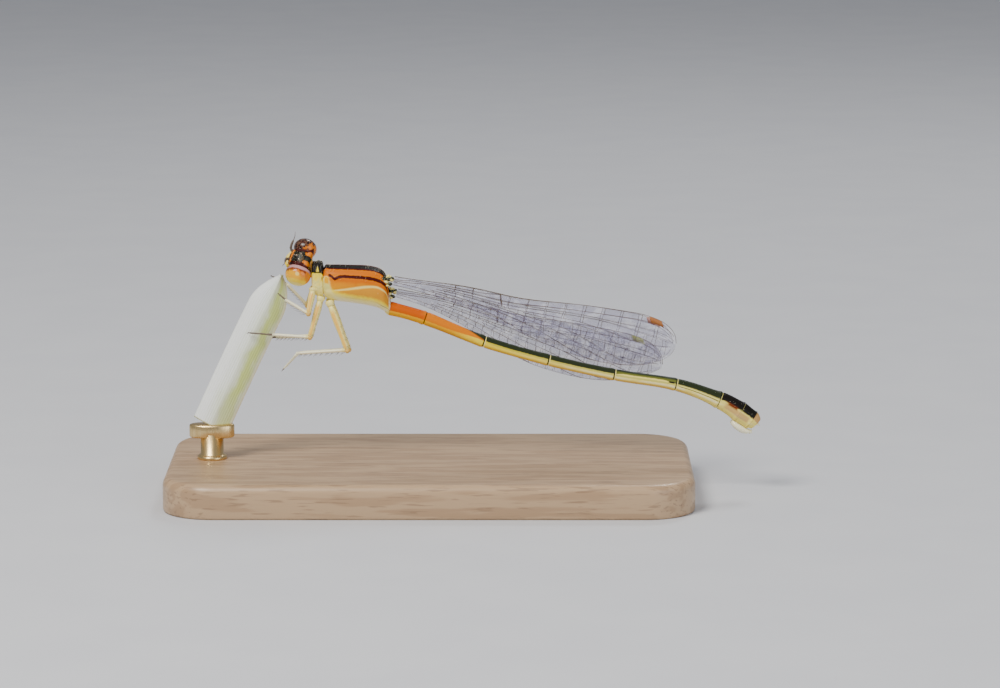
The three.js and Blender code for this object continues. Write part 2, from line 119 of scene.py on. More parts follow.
class Value:
    """A number socket whose Python arithmetic adds Math nodes."""

    def __init__(self, shader: "Shader", socket: bpy.types.NodeSocket) -> None:
        """Wrap one output socket of a shader's tree."""
        self.shader = shader
        self.socket = socket

    def maths(self, operation: str, *others: "Value | float") -> "Value":
        """Add one Math node.

        Args:
            operation: The Math node's operation.
            others: Its further operands, values or numbers.

        Returns:
            The node's result.
        """
        inputs = {0: self}
        for i, other in enumerate(others):
            inputs[i + 1] = other
        made = self.shader.node("ShaderNodeMath", {"operation": operation}, inputs)
        return Value(self.shader, made.outputs[0])

    def __add__(self, other: "Value | float") -> "Value":
        """Add a value or number."""
        return self.maths("ADD", other)

    def __radd__(self, other: float) -> "Value":
        """Add this value to a number."""
        return self.maths("ADD", other)

    def __sub__(self, other: "Value | float") -> "Value":
        """Subtract a value or number."""
        return self.maths("SUBTRACT", other)

    def __rsub__(self, other: float) -> "Value":
        """Subtract this value from a number."""
        return (self * -1.0).maths("ADD", other)

    def __mul__(self, other: "Value | float") -> "Value":
        """Multiply by a value or number."""
        return self.maths("MULTIPLY", other)

    def __rmul__(self, other: float) -> "Value":
        """Multiply a number by this value."""
        return self.maths("MULTIPLY", other)

    def __abs__(self) -> "Value":
        """Return the size of the value without its sign."""
        return self.maths("ABSOLUTE")

    def above(self, edge: float, soft: float) -> "Value":
        """Return 1 above an edge and 0 below it, with a soft border."""
        settings = {"interpolation_type": "SMOOTHSTEP"}
        inputs = {0: self, 1: edge - soft, 2: edge + soft, 3: 0.0, 4: 1.0}
        made = self.shader.node("ShaderNodeMapRange", settings, inputs)
        return Value(self.shader, made.outputs[0])

    def below(self, edge: float, soft: float) -> "Value":
        """Return 1 below an edge and 0 above it, with a soft border."""
        return 1.0 - self.above(edge, soft)

    def near(self, centre: "Value | float", half: float, soft: float) -> "Value":
        """Return 1 within half of a centre and 0 farther off, with a soft border."""
        return abs(self - centre).below(half, soft)


class Shader:
    """One procedural material with a Principled surface."""

    def __init__(self, name: str) -> None:
        """Make the material and its surface node."""
        self.material = bpy.data.materials.new(name)
        self.material.use_nodes = True
        self.tree = self.material.node_tree
        self.tree.nodes.clear()
        output = self.node("ShaderNodeOutputMaterial")
        self.surface = self.node("ShaderNodeBsdfPrincipled")
        self.tree.links.new(self.surface.outputs[0], output.inputs[0])
        self.base: bpy.types.NodeSocket | None = None

    def node(self, kind: str, settings: dict | None = None,
             inputs: dict | None = None) -> bpy.types.Node:
        """Add any node.

        Args:
            kind: The node's type.
            settings: Its properties, set before its sockets.
            inputs: Socket names or numbers with their values, sockets or plain constants.

        Returns:
            The new node.
        """
        made = self.tree.nodes.new(kind)
        for key, setting in (settings or {}).items():
            setattr(made, key, setting)
        for key, given in (inputs or {}).items():
            source = given.socket if isinstance(given, Value) else given
            if isinstance(source, bpy.types.NodeSocket):
                self.tree.links.new(source, made.inputs[key])
            else:
                made.inputs[key].default_value = source
        return made

    def place(self) -> tuple[Value, Value, Value]:
        """Return the three anatomical coordinates that the mesh carries."""
        source = self.node("ShaderNodeAttribute", {"attribute_name": PLACE})
        parts = self.node("ShaderNodeSeparateXYZ", None, {0: source.outputs["Vector"]})
        first, second, third = (Value(self, parts.outputs[i]) for i in range(3))
        return first, second, third

    def noise(self, cell: float, detail: float = 2.0, stretch: Colour = (1.0, 1.0, 1.0)) -> Value:
        """Return noise in object space.

        Args:
            cell: Size of its cells in millimetres.
            detail: How many finer layers it has.
            stretch: Scale of the space along X, Y and Z.

        Returns:
            The noise, about 0.3 to 0.7.
        """
        space = self.node("ShaderNodeTexCoord").outputs["Object"]
        mapped = self.node("ShaderNodeMapping", None, {0: space, 3: stretch})
        inputs = {"Vector": mapped.outputs[0], "Scale": 1.0 / (cell * MM), "Detail": detail}
        return Value(self, self.node("ShaderNodeTexNoise", None, inputs).outputs[0])

    def colour(self, tint: Tint) -> bpy.types.NodeSocket:
        """Return a tint's colour as a socket, or the socket that was given."""
        if isinstance(tint, bpy.types.NodeSocket):
            return tint
        source = self.node("ShaderNodeRGB")
        source.outputs[0].default_value = (*getattr(tint, "value", tint), 1.0)
        return source.outputs[0]

    def blend(self, below: Tint, layer: Tint, mask: Value | float) -> bpy.types.NodeSocket:
        """Return one colour with another laid over it where a mask is 1.

        Args:
            below: The colour below.
            layer: The colour on top.
            mask: How much of the layer shows.

        Returns:
            The mixed colour socket.
        """
        inputs = {0: mask, 6: self.colour(below), 7: self.colour(layer)}
        return self.node("ShaderNodeMix", {"data_type": "RGBA"}, inputs).outputs[2]

    def lay(self, layer: Tint, mask: Value | float) -> None:
        """Lay one colour over the surface's own where a mask is 1."""
        self.base = self.blend(self.base, layer, mask)

    def bump(self, height: Value, depth: float, strength: float = 1.0) -> None:
        """Feed the surface's normal from a height, with its depth in millimetres."""
        inputs = {"Height": height, "Distance": depth * MM, "Strength": strength}
        made = self.node("ShaderNodeBump", None, inputs)
        self.tree.links.new(made.outputs[0], self.surface.inputs["Normal"])

    def dress(self, roughness: Value | float, **constants: float) -> None:
        """Feed the surface its colour and set its other sockets.

        Args:
            roughness: A value or a number.
            constants: Other sockets by name, with underscores for spaces.
        """
        self.tree.links.new(self.base, self.surface.inputs["Base Color"])
        if isinstance(roughness, Value):
            self.tree.links.new(roughness.socket, self.surface.inputs["Roughness"])
        else:
            self.surface.inputs["Roughness"].default_value = roughness
        for name, number in constants.items():
            self.surface.inputs[name.replace("_", " ")].default_value = number


class Draft:
    """A mesh in the making: points in millimetres with their anatomical places."""

    def __init__(self) -> None:
        """Start an empty mesh."""
        self.points: list[Vector] = []
        self.places: list[Vector] = []
        self.faces: list[tuple[int, ...]] = []
        self.slots: list[int] = []

    def face(self, corners: Iterable[int], slot: int) -> None:
        """Add one face with its material slot."""
        self.faces.append(tuple(corners))
        self.slots.append(slot)

    def join(self, other: "Draft") -> None:
        """Take over another draft's points and faces."""
        start = len(self.points)
        self.points += other.points
        self.places += other.places
        self.faces += [tuple(i + start for i in corners) for corners in other.faces]
        self.slots += other.slots

    def skin(self, rings: Sequence[Ring], places: Sequence[Ring], slot: int = 0) -> None:
        """Add a closed surface through rings of equal length.

        Args:
            rings: Points around the body, one ring for each station.
            places: The anatomical place of each point.
            slot: The faces' material slot.
        """
        start = len(self.points)
        count = len(rings[0])
        for ring, spots in zip(rings, places):
            self.points.extend(ring)
            self.places.extend(spots)
        for row in range(len(rings) - 1):
            for column in range(count):
                after = (column + 1) % count
                a = start + row * count
                self.face((a + column, a + after, a + count + after, a + count + column), slot)
        for row, turned in ((0, True), (len(rings) - 1, False)):
            middle = sum(rings[row], Vector()) / count
            spot = sum(places[row], Vector()) / count
            self.points.append(middle)
            self.places.append(spot)
            apex = len(self.points) - 1
            a = start + row * count
            for column in range(count):
                pair = (a + column, a + (column + 1) % count)
                self.face((apex, *(reversed(pair) if turned else pair)), slot)

    def tube(self, path: Sequence[Vector], radii: Sequence[float], sides: int = 8, slot: int = 0,
             place: Callable[[float, float], Vector] | None = None,
             side: Vector = Vector((0, 1, 0))) -> None:
        """Add a round tube along a path.

        Args:
            path: Its middle line.
            radii: One radius for each point of the path.
            sides: Faces around it.
            slot: Its material slot.
            place: Gives the anatomical place from the share of the length and of the turn.
            side: A direction that is never along the path.
        """
        rings, spots = [], []
        last = len(path) - 1
        for i, point in enumerate(path):
            along = (path[min(i + 1, last)] - path[max(i - 1, 0)]).normalized()
            across = side.cross(along).normalized()
            over = along.cross(across)
            turns = [2 * math.pi * k / sides for k in range(sides)]
            rings.append([point + (across * math.cos(a) + over * math.sin(a)) * radii[i] for a in turns])
            spots.append([place(i / last, k / sides) if place else Vector() for k in range(sides)])
        self.skin(rings, spots, slot)

    def ball(self, centre: Vector, radii: Colour, turn: Matrix | None = None, columns: int = 24,
             rows: int = 14, slot: int = 0, place: Callable[[Vector], Vector] | None = None) -> None:
        """Add an ellipsoid.

        Args:
            centre: Its middle.
            radii: Half sizes along its own axes.
            turn: Rotation of its axes.
            columns: Faces around it.
            rows: Faces from pole to pole.
            slot: Its material slot.
            place: Gives the anatomical place from the direction on the unit ball.
        """
        turn = turn or Matrix.Identity(3)
        rings, spots = [], []
        for row in range(rows + 1):
            polar = math.pi * min(max(row / rows, 0.01), 0.99)
            ring, spot = [], []
            for column in range(columns):
                angle = 2 * math.pi * column / columns
                flat = math.sin(polar)
                unit = Vector((flat * math.cos(angle), flat * math.sin(angle), math.cos(polar)))
                ring.append(centre + turn @ Vector(unit[i] * radii[i] for i in range(3)))
                spot.append(place(unit) if place else Vector())
            rings.append(ring)
            spots.append(spot)
        self.skin(rings, spots, slot)

    def hair(self, root: Vector, lean: Vector, length: float, radius: float, slot: int = 0,
             patch: tuple[float, float] = (0.0, 0.0)) -> None:
        """Add one fine bristle that bends a little toward its tip.

        Args:
            root: Where it grows.
            lean: The direction it points in.
            length: Its length.
            radius: Its radius at the root.
            slot: Its material slot.
            patch: Its root's place on the unwrapped skin, kept for its own small map.
        """
        along = lean.normalized()
        side = along.orthogonal().normalized()
        bend = side * length * 0.08
        path = [root - along * radius, root + along * length * 0.5 + bend, root + along * length]
        self.tube(path, [radius, radius * 0.7, radius * 0.12], 4, slot, side=side,
                  place=lambda s, t: Vector((patch[0] + s * PATCH, patch[1] + t * PATCH, 0.0)))

    def build(self, name: str, finishes: Sequence[bpy.types.Material]) -> bpy.types.Object:
        """Make the Blender object in metres.

        Args:
            name: Its name.
            finishes: Its materials in slot order.

        Returns:
            The new object, linked to the scene.
        """
        mesh = bpy.data.meshes.new(name)
        mesh.from_pydata([point * MM for point in self.points], [], self.faces)
        spots = mesh.attributes.new(PLACE, "FLOAT_VECTOR", "POINT")
        spots.data.foreach_set("vector", [number for spot in self.places for number in spot])
        for finish in finishes:
            mesh.materials.append(finish)
        mesh.polygons.foreach_set("material_index", self.slots)
        mesh.polygons.foreach_set("use_smooth", [True] * len(self.faces))
        mesh.update()
        made = bpy.data.objects.new(name, mesh)
        bpy.context.scene.collection.objects.link(made)
        LOG.info("%s has %d faces", name, len(self.faces))
        return made


def settle(piece: bpy.types.Object, slot: str, *nodes: str) -> bpy.types.Object:
    """Let a piece ride on the body and stand for its nodes, whose solids it hides.

    Args:
        piece: The finished mesh object.
        slot: Not used.
        nodes: The solids that it stands for.

    Returns:
        The same piece.
    """
    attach(piece, BODY)
    if nodes:
        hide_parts(*nodes)
    return piece


class Wax(Enum):
    """Named tints of the cuticle, leaf and stand, and one painted sky reflection for the near eye."""

    BLACK = (0.010, 0.008, 0.006)
    MAROON = (0.060, 0.005, 0.003)
    ORANGE = (0.70, 0.185, 0.0)
    DEEP_ORANGE = (0.58, 0.095, 0.0)
    GOLD = (0.86, 0.40, 0.0)
    YELLOW = (0.96, 0.72, 0.03)
    CREAM = (0.94, 0.82, 0.26)
    PALE = (0.96, 0.92, 0.64)
    # painted reflection of the sky, laid along the near eye's inner edge
    SKY_REFLECTION_MAUVE = (0.56, 0.30, 0.30)
    OCHRE = (0.66, 0.29, 0.03)
    OLIVE = (0.022, 0.030, 0.012)
    GREEN = (0.30, 0.32, 0.05)
    TAN = (0.60, 0.34, 0.12)
    RUST = (0.17, 0.022, 0.004)
    BROWN = (0.40, 0.14, 0.03)
    SMOKE = (0.13, 0.09, 0.06)


@dataclass(frozen=True)
class HeadFinish:
    """Black mottled crown with an orange spot behind each eye, and a yellow and orange face."""

    crown_front: float = 0.52
    crown_side: float = 0.84
    spot: Colour = (0.40, -0.44, 0.235)

    def make(self) -> bpy.types.Material:
        """Build the material.

        Returns:
            The material, where the places are millimetres in the head's own frame.
        """
        shader = Shader("head_cuticle")
        x, y, z = shader.place()
        mottle = shader.noise(0.12, 3.0)
        blotch = shader.noise(0.24, 2.0)
        shader.base = shader.blend(Wax.YELLOW, Wax.ORANGE, y.near(0.62, 0.24, 0.12) * z.above(-0.1, 0.1))
        shader.lay(Wax.CREAM, y.above(0.72, 0.05) * z.above(-0.08, 0.06) * 0.8)
        shader.lay(Wax.CREAM, y.below(-0.25, 0.1) * z.below(0.0, 0.15))
        crown = z.above(0.08, 0.06) * (y + (blotch - 0.5) * 0.3).below(self.crown_front, 0.04)
        crown = crown * abs(x).below(self.crown_side, 0.05)
        dark = shader.blend(Wax.BLACK, (0.030, 0.034, 0.016), blotch.above(0.52, 0.05))
        dark = shader.blend(dark, (0.13, 0.07, 0.03), blotch.above(0.60, 0.03) * z.above(0.4, 0.1) * 0.8)
        shader.lay(dark, crown)
        bar = y.near(0.70, 0.045, 0.02) * abs(x).below(0.42, 0.05) * z.above(-0.14, 0.04)
        shader.lay(Wax.MAROON, bar)
        far = (abs(x) - self.spot[0]).maths("POWER", 4.0) + (y - self.spot[1]).maths("POWER", 4.0)
        spots = far.below(self.spot[2] ** 4, 0.0005) * z.above(0.0, 0.05)
        shader.lay(Wax.ORANGE, spots)
        eye_edge = ((abs(x) - 0.90) * 1.52).maths("POWER", 2.0) + (y * 1.32).maths("POWER", 2.0)
        eye_edge = (eye_edge + (z * 1.39).maths("POWER", 2.0)).below(1.30, 0.04) * z.above(0.02, 0.04)
        shader.lay(Wax.MAROON, eye_edge)
        lip = z.near(-0.44, 0.014, 0.012) * y.above(0.5, 0.05)
        seam = z.near(-0.18, 0.010, 0.012) * y.above(0.55, 0.05) * abs(x).below(0.45, 0.04)
        shader.lay(Wax.RUST, lip.maths("MAXIMUM", seam) * 0.8)
        jaw = abs(x).near(0.36, 0.05, 0.03) * z.near(-0.5, 0.10, 0.03) * y.above(0.55, 0.05)
        shader.lay(Wax.OCHRE, jaw * 0.7)
        shader.dress(mottle * 0.3 + 0.28, Coat_Weight=0.03, Coat_Roughness=0.2, Specular_IOR_Level=0.2)
        shader.bump(mottle, 0.02, 0.5)
        return shader.material


@dataclass(frozen=True)
class OcellusFinish:
    """Glassy pale bead of a simple eye."""

    def make(self) -> bpy.types.Material:
        """Build the material.

        Returns:
            The material.
        """
        shader = Shader("ocellus_glass")
        sheen = shader.noise(0.1, 1.0)
        shader.base = shader.blend((0.22, 0.15, 0.09), (0.48, 0.38, 0.26), sheen.above(0.5, 0.1))
        shader.dress(0.1, Coat_Weight=1.0, Coat_Roughness=0.04)
        return shader.material


@dataclass(frozen=True)
class EyeFinish:
    """Glossy eye with a facet bump: a band along the inner edge, orange, then gold below.

    On the far eye the band is dark and the eye shows its dark cap; on the near eye the mauve band is a
    painted reflection of the sky, and a painted cream highlight is laid on it.
    """

    name: str
    # tint of the inner edge band: dark on the far eye, a painted sky reflection on the near eye
    inner: Wax
    inner_from: float
    cap_from: float
    # share of pale rim and painted cream highlight laid on: all on the near eye, none on the far eye
    pale: float
    facet: float = 0.040

    def make(self) -> bpy.types.Material:
        """Build the material.

        Returns:
            The material, where the places are directions on the unit eye, outward first.
        """
        shader = Shader(self.name)
        out, front, top = shader.place()
        drift = shader.noise(0.34, 2.0) - 0.5
        speck = shader.noise(0.11, 2.0)
        gold = (out + front * 0.35 + drift * 0.9).above(0.22, 0.22)
        shader.base = shader.blend(Wax.ORANGE, Wax.GOLD, gold)
        outer = out + drift * 0.3 - top * 0.25
        shader.lay(Wax.YELLOW, outer.above(0.56, 0.12) * self.pale * 0.8)
        shader.lay(Wax.CREAM, outer.above(0.84, 0.10) * self.pale * 0.8)
        # painted highlight: a soft round cream spot on the near eye
        eye_highlight_spot = (out - 0.34).maths("POWER", 2.0) + (front + 0.20).maths("POWER", 2.0) + drift * 0.05
        eye_highlight_spot = eye_highlight_spot.below(0.022, 0.02)
        shader.lay(Wax.CREAM, eye_highlight_spot * self.pale * 0.7)
        shader.lay(Wax.CREAM, (drift * 0.3 - top).above(0.5, 0.3) * self.pale * 0.7)
        stain = (drift * 1.5 - out + front * 0.25).above(self.inner_from - 0.20, 0.10)
        shader.lay(Wax.RUST, stain * top.above(0.1, 0.2) * 0.85)
        # inner edge band: painted mauve sky reflection on the near eye, dark cuticle edge on the far eye
        edge = (drift * 0.2 - out + front * 0.06).above(self.inner_from, 0.05)
        shader.lay(self.inner, edge * top.above(-0.1, 0.2))
        dark = (front * 0.72 + out * 0.58 + top * 0.13 + drift * 1.2).above(self.cap_from, 0.05)
        cap = shader.blend(Wax.MAROON, (0.15, 0.075, 0.04), speck.above(0.53, 0.04))
        cap = shader.blend(cap, Wax.BLACK, speck.below(0.46, 0.04) * 0.9)
        shader.lay(cap, dark)
        shader.lay(Wax.MAROON, (out * -1.0).above(0.50, 0.015))
        space = shader.node("ShaderNodeTexCoord").outputs["Object"]
        cells = {"Vector": space, "Scale": 1.0 / (self.facet * MM)}
        facets = Value(shader, shader.node("ShaderNodeTexVoronoi", {"feature": "F1"}, cells).outputs[0])
        shader.dress(0.24, Coat_Weight=0.30, Coat_Roughness=0.07, Specular_IOR_Level=0.25)
        shader.bump(1.0 - facets, 0.008, 0.5)
        return shader.material


@dataclass(frozen=True)
class ProthoraxFinish:
    """Black back with a yellow triangle on each side, pale yellow below."""

    black_to: float = 0.40

    def make(self) -> bpy.types.Material:
        """Build the material.

        Returns:
            The material, where the places are the share along and the turn from the back.
        """
        shader = Shader("prothorax_cuticle")
        along, turn, _ = shader.place()
        mottle = shader.noise(0.1, 3.0)
        blotch = shader.noise(0.3, 2.0)
        shader.base = shader.blend(Wax.YELLOW, Wax.CREAM, (turn + blotch * 0.4).above(0.72, 0.1))
        shader.lay(Wax.GREEN, blotch.above(0.60, 0.05) * 0.25)
        shader.lay(Wax.BLACK, (turn + mottle * 0.02).below(self.black_to, 0.014))
        triangle = (abs(along - 0.50) * 0.9 - (turn - 0.24) * 0.7).below(0.0, 0.02)
        shader.lay(Wax.YELLOW, triangle * turn.near(0.30, 0.062, 0.010))
        mark = along.near(0.84, 0.04, 0.03) * turn.near(0.47, 0.02, 0.012)
        shader.lay(Wax.RUST, mark)
        shader.dress(mottle * 0.3 + 0.3, Coat_Weight=0.03, Coat_Roughness=0.2, Specular_IOR_Level=0.2)
        shader.bump(mottle, 0.02, 0.4)
        return shader.material


@dataclass(frozen=True)
class ThoraxFinish:
    """Orange sides under a black back stripe and a maroon shoulder line, cream below."""

    back_stripe: float = 0.14
    shoulder_line: float = 0.345
    shoulder_half: float = 0.026
    belly_from: float = 0.635

    def make(self) -> bpy.types.Material:
        """Build the material.

        Returns:
            The material, where the places are the share along, the turn and the side.
        """
        shader = Shader("thorax_cuticle")
        along, turn, _ = shader.place()
        mottle = shader.noise(0.16, 3.0)
        broad = shader.noise(0.9, 2.0)
        drift = (mottle - 0.5) * 0.03
        wave = (broad - 0.5) * 0.3
        shader.base = shader.blend(Wax.ORANGE, Wax.GOLD, (turn + wave).above(0.50, 0.10) * 0.8)
        shader.lay(Wax.DEEP_ORANGE, (turn + wave * 0.3).near(0.25, 0.05, 0.04) * 0.35)
        shader.lay(Wax.DEEP_ORANGE, turn.near(0.41, 0.03, 0.04) * along.above(0.3, 0.1) * 0.5)
        suture_turn = 0.63 - along.above(0.42, 0.26) * 0.17
        behind = (turn - suture_turn).above(0.02, 0.03) * along.above(0.40, 0.08)
        shader.lay(Wax.OCHRE, behind * 0.7)
        suture = abs(turn - suture_turn).below(0.013, 0.012) * along.above(0.24, 0.05)
        shader.lay(Wax.CREAM, suture * 0.85)
        belly_edge = self.belly_from - along.below(0.30, 0.2) * 0.13
        belly = turn + drift * 2.0 - belly_edge
        shader.lay(Wax.YELLOW, belly.above(0.0, 0.035))
        shader.lay(Wax.CREAM, belly.above(0.06, 0.05))
        shader.lay(Wax.PALE, belly.above(0.16, 0.08))
        shader.lay(Wax.SMOKE, turn.near(0.735, 0.008, 0.008) * along.above(0.68, 0.05) * 0.8)
        pale_front = (along + drift - (turn - 0.5) * 0.22).below(0.27, 0.03) * turn.above(0.375, 0.02)
        shader.lay(Wax.CREAM, pale_front)
        shader.lay(Wax.GREEN, pale_front * broad.above(0.56, 0.05) * 0.3)
        front = along.near(0.20, 0.05, 0.02) * (turn + drift).near(0.44, 0.055, 0.015)
        shader.lay(Wax.GOLD, front)
        back_edge = turn + drift
        shader.lay(Wax.MAROON, back_edge.below(self.back_stripe + 0.042, 0.01))
        shader.lay(Wax.BLACK, back_edge.below(self.back_stripe, 0.012))
        shader.lay(Wax.RUST, turn.below(0.012, 0.006) * 0.5)
        dot = along.near(0.09, 0.03, 0.015) * turn.near(0.385, 0.02, 0.01)
        dip = along.near(0.335, 0.01, 0.06) * 0.095
        line = abs(turn + drift - self.shoulder_line - dip)
        line = line.below(self.shoulder_half + 0.005, 0.008)
        line = (line * along.above(0.245, 0.012) * along.below(0.93, 0.02)).maths("MAXIMUM", dot)
        shader.lay(Wax.MAROON, line)
        tail_end = along.above(0.925, 0.012) * turn.above(0.22, 0.03)
        shader.lay(Wax.PALE, tail_end * 0.85)
        shader.lay(Wax.OCHRE, tail_end * mottle.above(0.56, 0.04) * 0.7)
        shader.dress(mottle * 0.3 + 0.3, Coat_Weight=0.02, Coat_Roughness=0.2, Specular_IOR_Level=0.09)
        shader.bump(mottle, 0.018, 0.4)
        return shader.material


@dataclass(frozen=True)
class AbdomenFinish:
    """Orange first lengths, then a dark olive back band over yellow sides, ringed at joints."""

    band_to: float = 0.42

    def make(self) -> bpy.types.Material:
        """Build the material.

        Returns:
            The material, where the places are segment number plus share, turn and side.
        """
        shader = Shader("abdomen_cuticle")
        q, turn, _ = shader.place()
        mottle = shader.noise(0.14, 3.0)
        streak = shader.noise(0.5, 2.0, (0.35, 1.0, 1.0))
        drift = (mottle - 0.5) * 0.05
        share = q.maths("FRACT")
        middle = (q - 1.0).above(4.0, 1.0)
        sides = shader.blend(Wax.CREAM, Wax.GOLD, q.above(2.0, 0.06))
        sides = shader.blend(sides, Wax.YELLOW, (q + streak * 0.5).above(3.95, 0.3))
        sides = shader.blend(sides, Wax.CREAM, q.above(5.0, 1.0) * 0.7)
        green = q.near(6.0, 2.0, 0.2) * (turn + drift).near(0.47, 0.05, 0.04)
        sides = shader.blend(sides, Wax.GREEN, green * 0.55)
        flush = q.near(5.2, 2.1, 0.4) * (turn + drift).above(0.70, 0.05)
        sides = shader.blend(sides, Wax.OCHRE, flush * 0.55)
        keel = q.near(5.5, 2.4, 0.3) * (turn + drift).above(0.88, 0.04)
        sides = shader.blend(sides, Wax.SMOKE, keel * 0.5)
        pale = (turn + drift).near(0.60, 0.05, 0.04) * middle * streak.above(0.45, 0.1)
        sides = shader.blend(sides, Wax.PALE, pale * 0.6)
        back = shader.blend(Wax.CREAM, Wax.DEEP_ORANGE, q.above(1.9, 0.1))
        back = shader.blend(back, Wax.ORANGE, (q + streak * 0.5).above(3.2, 0.08))
        back = shader.blend(back, Wax.OLIVE, (q - turn * 0.9).above(3.62, 0.06))
        back = shader.blend(back, Wax.GREEN, q.near(6.5, 0.5, 0.05) * turn.near(0.3, 0.08, 0.05) * 0.4)
        back = shader.blend(back, Wax.BLACK, q.above(7.97, 0.02) * q.below(10.0, 0.02))
        back = shader.blend(back, Wax.TAN, q.above(9.97, 0.02))
        edge = self.band_to + q.below(3.6, 0.3) * 0.14 - q.near(6.45, 0.4, 0.1) * 0.08
        shader.base = shader.blend(sides, back, (turn + drift - edge).below(0.0, 0.03))
        spot = q.near(6.90, 0.05, 0.02) * turn.near(0.40, 0.04, 0.02)
        shader.lay(Wax.BLACK, spot)
        thin = turn.near(0.52, 0.014, 0.01) * q.near(7.5, 0.45, 0.02)
        shader.lay(Wax.BLACK, thin * 0.9)
        pale_line = turn.near(0.465, 0.018, 0.012) * q.near(7.5, 0.45, 0.02)
        shader.lay(Wax.CREAM, pale_line * 0.9)
        flank = q.near(8.95, 0.75, 0.1) * turn.near(0.56, 0.10, 0.04)
        shader.lay(Wax.TAN, flank * 0.8)
        patch = (q + drift * 6.0).near(8.50, 0.26, 0.10) * (turn + drift).near(0.44, 0.05, 0.04)
        shader.lay(Wax.RUST, patch)
        black_ring = share.above(0.980, 0.005) * q.near(5.0, 3.1, 0.05)
        pale_ring = (share - turn * 0.012).below(0.007, 0.005) * q.near(6.4, 2.8, 0.05)
        shader.lay(Wax.CREAM, pale_ring)
        shader.lay(Wax.BLACK, black_ring * turn.below(0.8, 0.1))
        shader.dress(mottle * 0.3 + 0.3, Coat_Weight=0.02, Coat_Roughness=0.2, Specular_IOR_Level=0.09)
        shader.bump(mottle, 0.016, 0.4)
        return shader.material


@dataclass(frozen=True)
class LegFinish:
    """Cream legs with a golden flank on each thigh, ochre knees and dark feet."""

    def make(self) -> bpy.types.Material:
        """Build the material.

        Returns:
            The material, where the places are joint number plus share, turn and foot darkness.
        """
        shader = Shader("leg_cuticle")
        q, turn, foot = shader.place()
        mottle = shader.noise(0.1, 3.0)
        shader.base = shader.blend(Wax.PALE, Wax.CREAM, q.below(1.1, 0.1))
        stripe = turn.near(0.74, 0.09, 0.05) * q.near(0.60, 0.36, 0.06)
        shader.lay(Wax.GOLD, stripe * 0.75)
        under = turn.near(0.94, 0.05, 0.04) * q.near(0.60, 0.42, 0.06)
        shader.lay(Wax.OCHRE, under * 0.6)
        shin = turn.near(0.72, 0.07, 0.03) * q.near(1.5, 0.46, 0.04)
        shader.lay(Wax.TAN, shin * 0.35)
        knee = q.near(1.0, 0.04, 0.02)
        shader.lay(Wax.OCHRE, knee * 0.7)
        shader.lay(Wax.SMOKE, q.above(2.0, 0.05) * foot)
        shader.dress(mottle * 0.3 + 0.28, Coat_Weight=0.2, Coat_Roughness=0.2)
        shader.bump(mottle, 0.012, 0.4)
        return shader.material


@dataclass(frozen=True)
class PlainCuticle:
    """A small part of one tint with fine mottling."""

    name: str
    tint: Wax
    darker: Wax = Wax.RUST
    roughness: float = 0.35

    def make(self) -> bpy.types.Material:
        """Build the material.

        Returns:
            The material.
        """
        shader = Shader(self.name)
        mottle = shader.noise(0.09, 3.0)
        shader.base = shader.blend(self.tint, self.darker, mottle.above(0.62, 0.1) * 0.3)
        shader.dress(mottle * 0.3 + self.roughness - 0.12, Coat_Weight=0.2, Coat_Roughness=0.2)
        shader.bump(mottle, 0.01, 0.4)
        return shader.material


@dataclass(frozen=True)
class MembraneFinish:
    """Clear wing skin with a grey mauve tint that is a painted reflection of a violet background, painted
    pale glints, and a faint rippled bump.
    """

    opacity: float = 0.12

    def make(self) -> bpy.types.Material:
        """Build the material.

        Returns:
            The material.
        """
        shader = Shader("wing_membrane")
        ripple_and_glint = shader.noise(0.38, 2.0, (0.6, 1.0, 1.0))
        # painted light: the mauve base is a painted reflection of a violet background, and the pale
        # blue-white patches on the crests are painted glints
        shader.base = shader.blend((0.22, 0.19, 0.40), (0.85, 0.84, 1.0), ripple_and_glint.above(0.56, 0.04))
        gloss = {"Coat_Weight": 0.6, "Coat_Roughness": 0.08, "IOR": 1.5}
        shader.dress(ripple_and_glint * 0.3 + 0.08, Alpha=self.opacity, **gloss)
        shader.bump(ripple_and_glint, 0.05, 0.6)
        return shader.material


@dataclass(frozen=True)
class LeafFinish:
    """Pale leaf with fine lengthwise stripes, yellow-green toward one edge; its silvery half is a painted
    highlight laid over the leaf's pale tone, with painted white streaks.
    """

    stripes: float = 34.0

    def make(self) -> bpy.types.Material:
        """Build the material.

        Returns:
            The material, where the places are the share along, across and the face.
        """
        shader = Shader("grass_leaf")
        along, across, _ = shader.place()
        streak = shader.noise(0.35, 3.0, (0.35, 1.0, 0.22))
        waves = (across * self.stripes * math.pi).maths("SINE")
        wide = (across * 7.0 + streak * 1.5).maths("SINE")
        # one half of the blade: a painted highlight, near white over the leaf's pale green
        leaf_highlight_half = (across + streak * 0.35 - 0.17).below(0.5, 0.2)
        shader.base = shader.blend((0.74, 0.80, 0.56), (0.90, 0.93, 0.88), leaf_highlight_half)
        green = (across + (streak - 0.5) * 0.5).near(0.76, 0.13, 0.09) * (1.0 - along.below(0.18, 0.1) * 0.5)
        shader.lay((0.56, 0.68, 0.10), green * 0.75)
        shader.lay((0.50, 0.58, 0.22), waves.above(0.5, 0.4) * 0.3)
        shader.lay((0.95, 0.93, 0.70), across.above(0.95, 0.02) * 0.8)
        # painted highlight: near-white streaks across the same half
        shader.lay((0.95, 0.96, 0.95), wide.above(0.55, 0.3) * across.below(0.5, 0.2) * 0.6)
        cut = along.below(0.006, 0.004)
        shader.lay((0.62, 0.60, 0.30), cut)
        shader.dress(streak * 0.25 + 0.30, Coat_Weight=0.15, Coat_Roughness=0.3)
        shader.bump(waves * 0.5 + streak, 0.02, 0.5)
        return shader.material


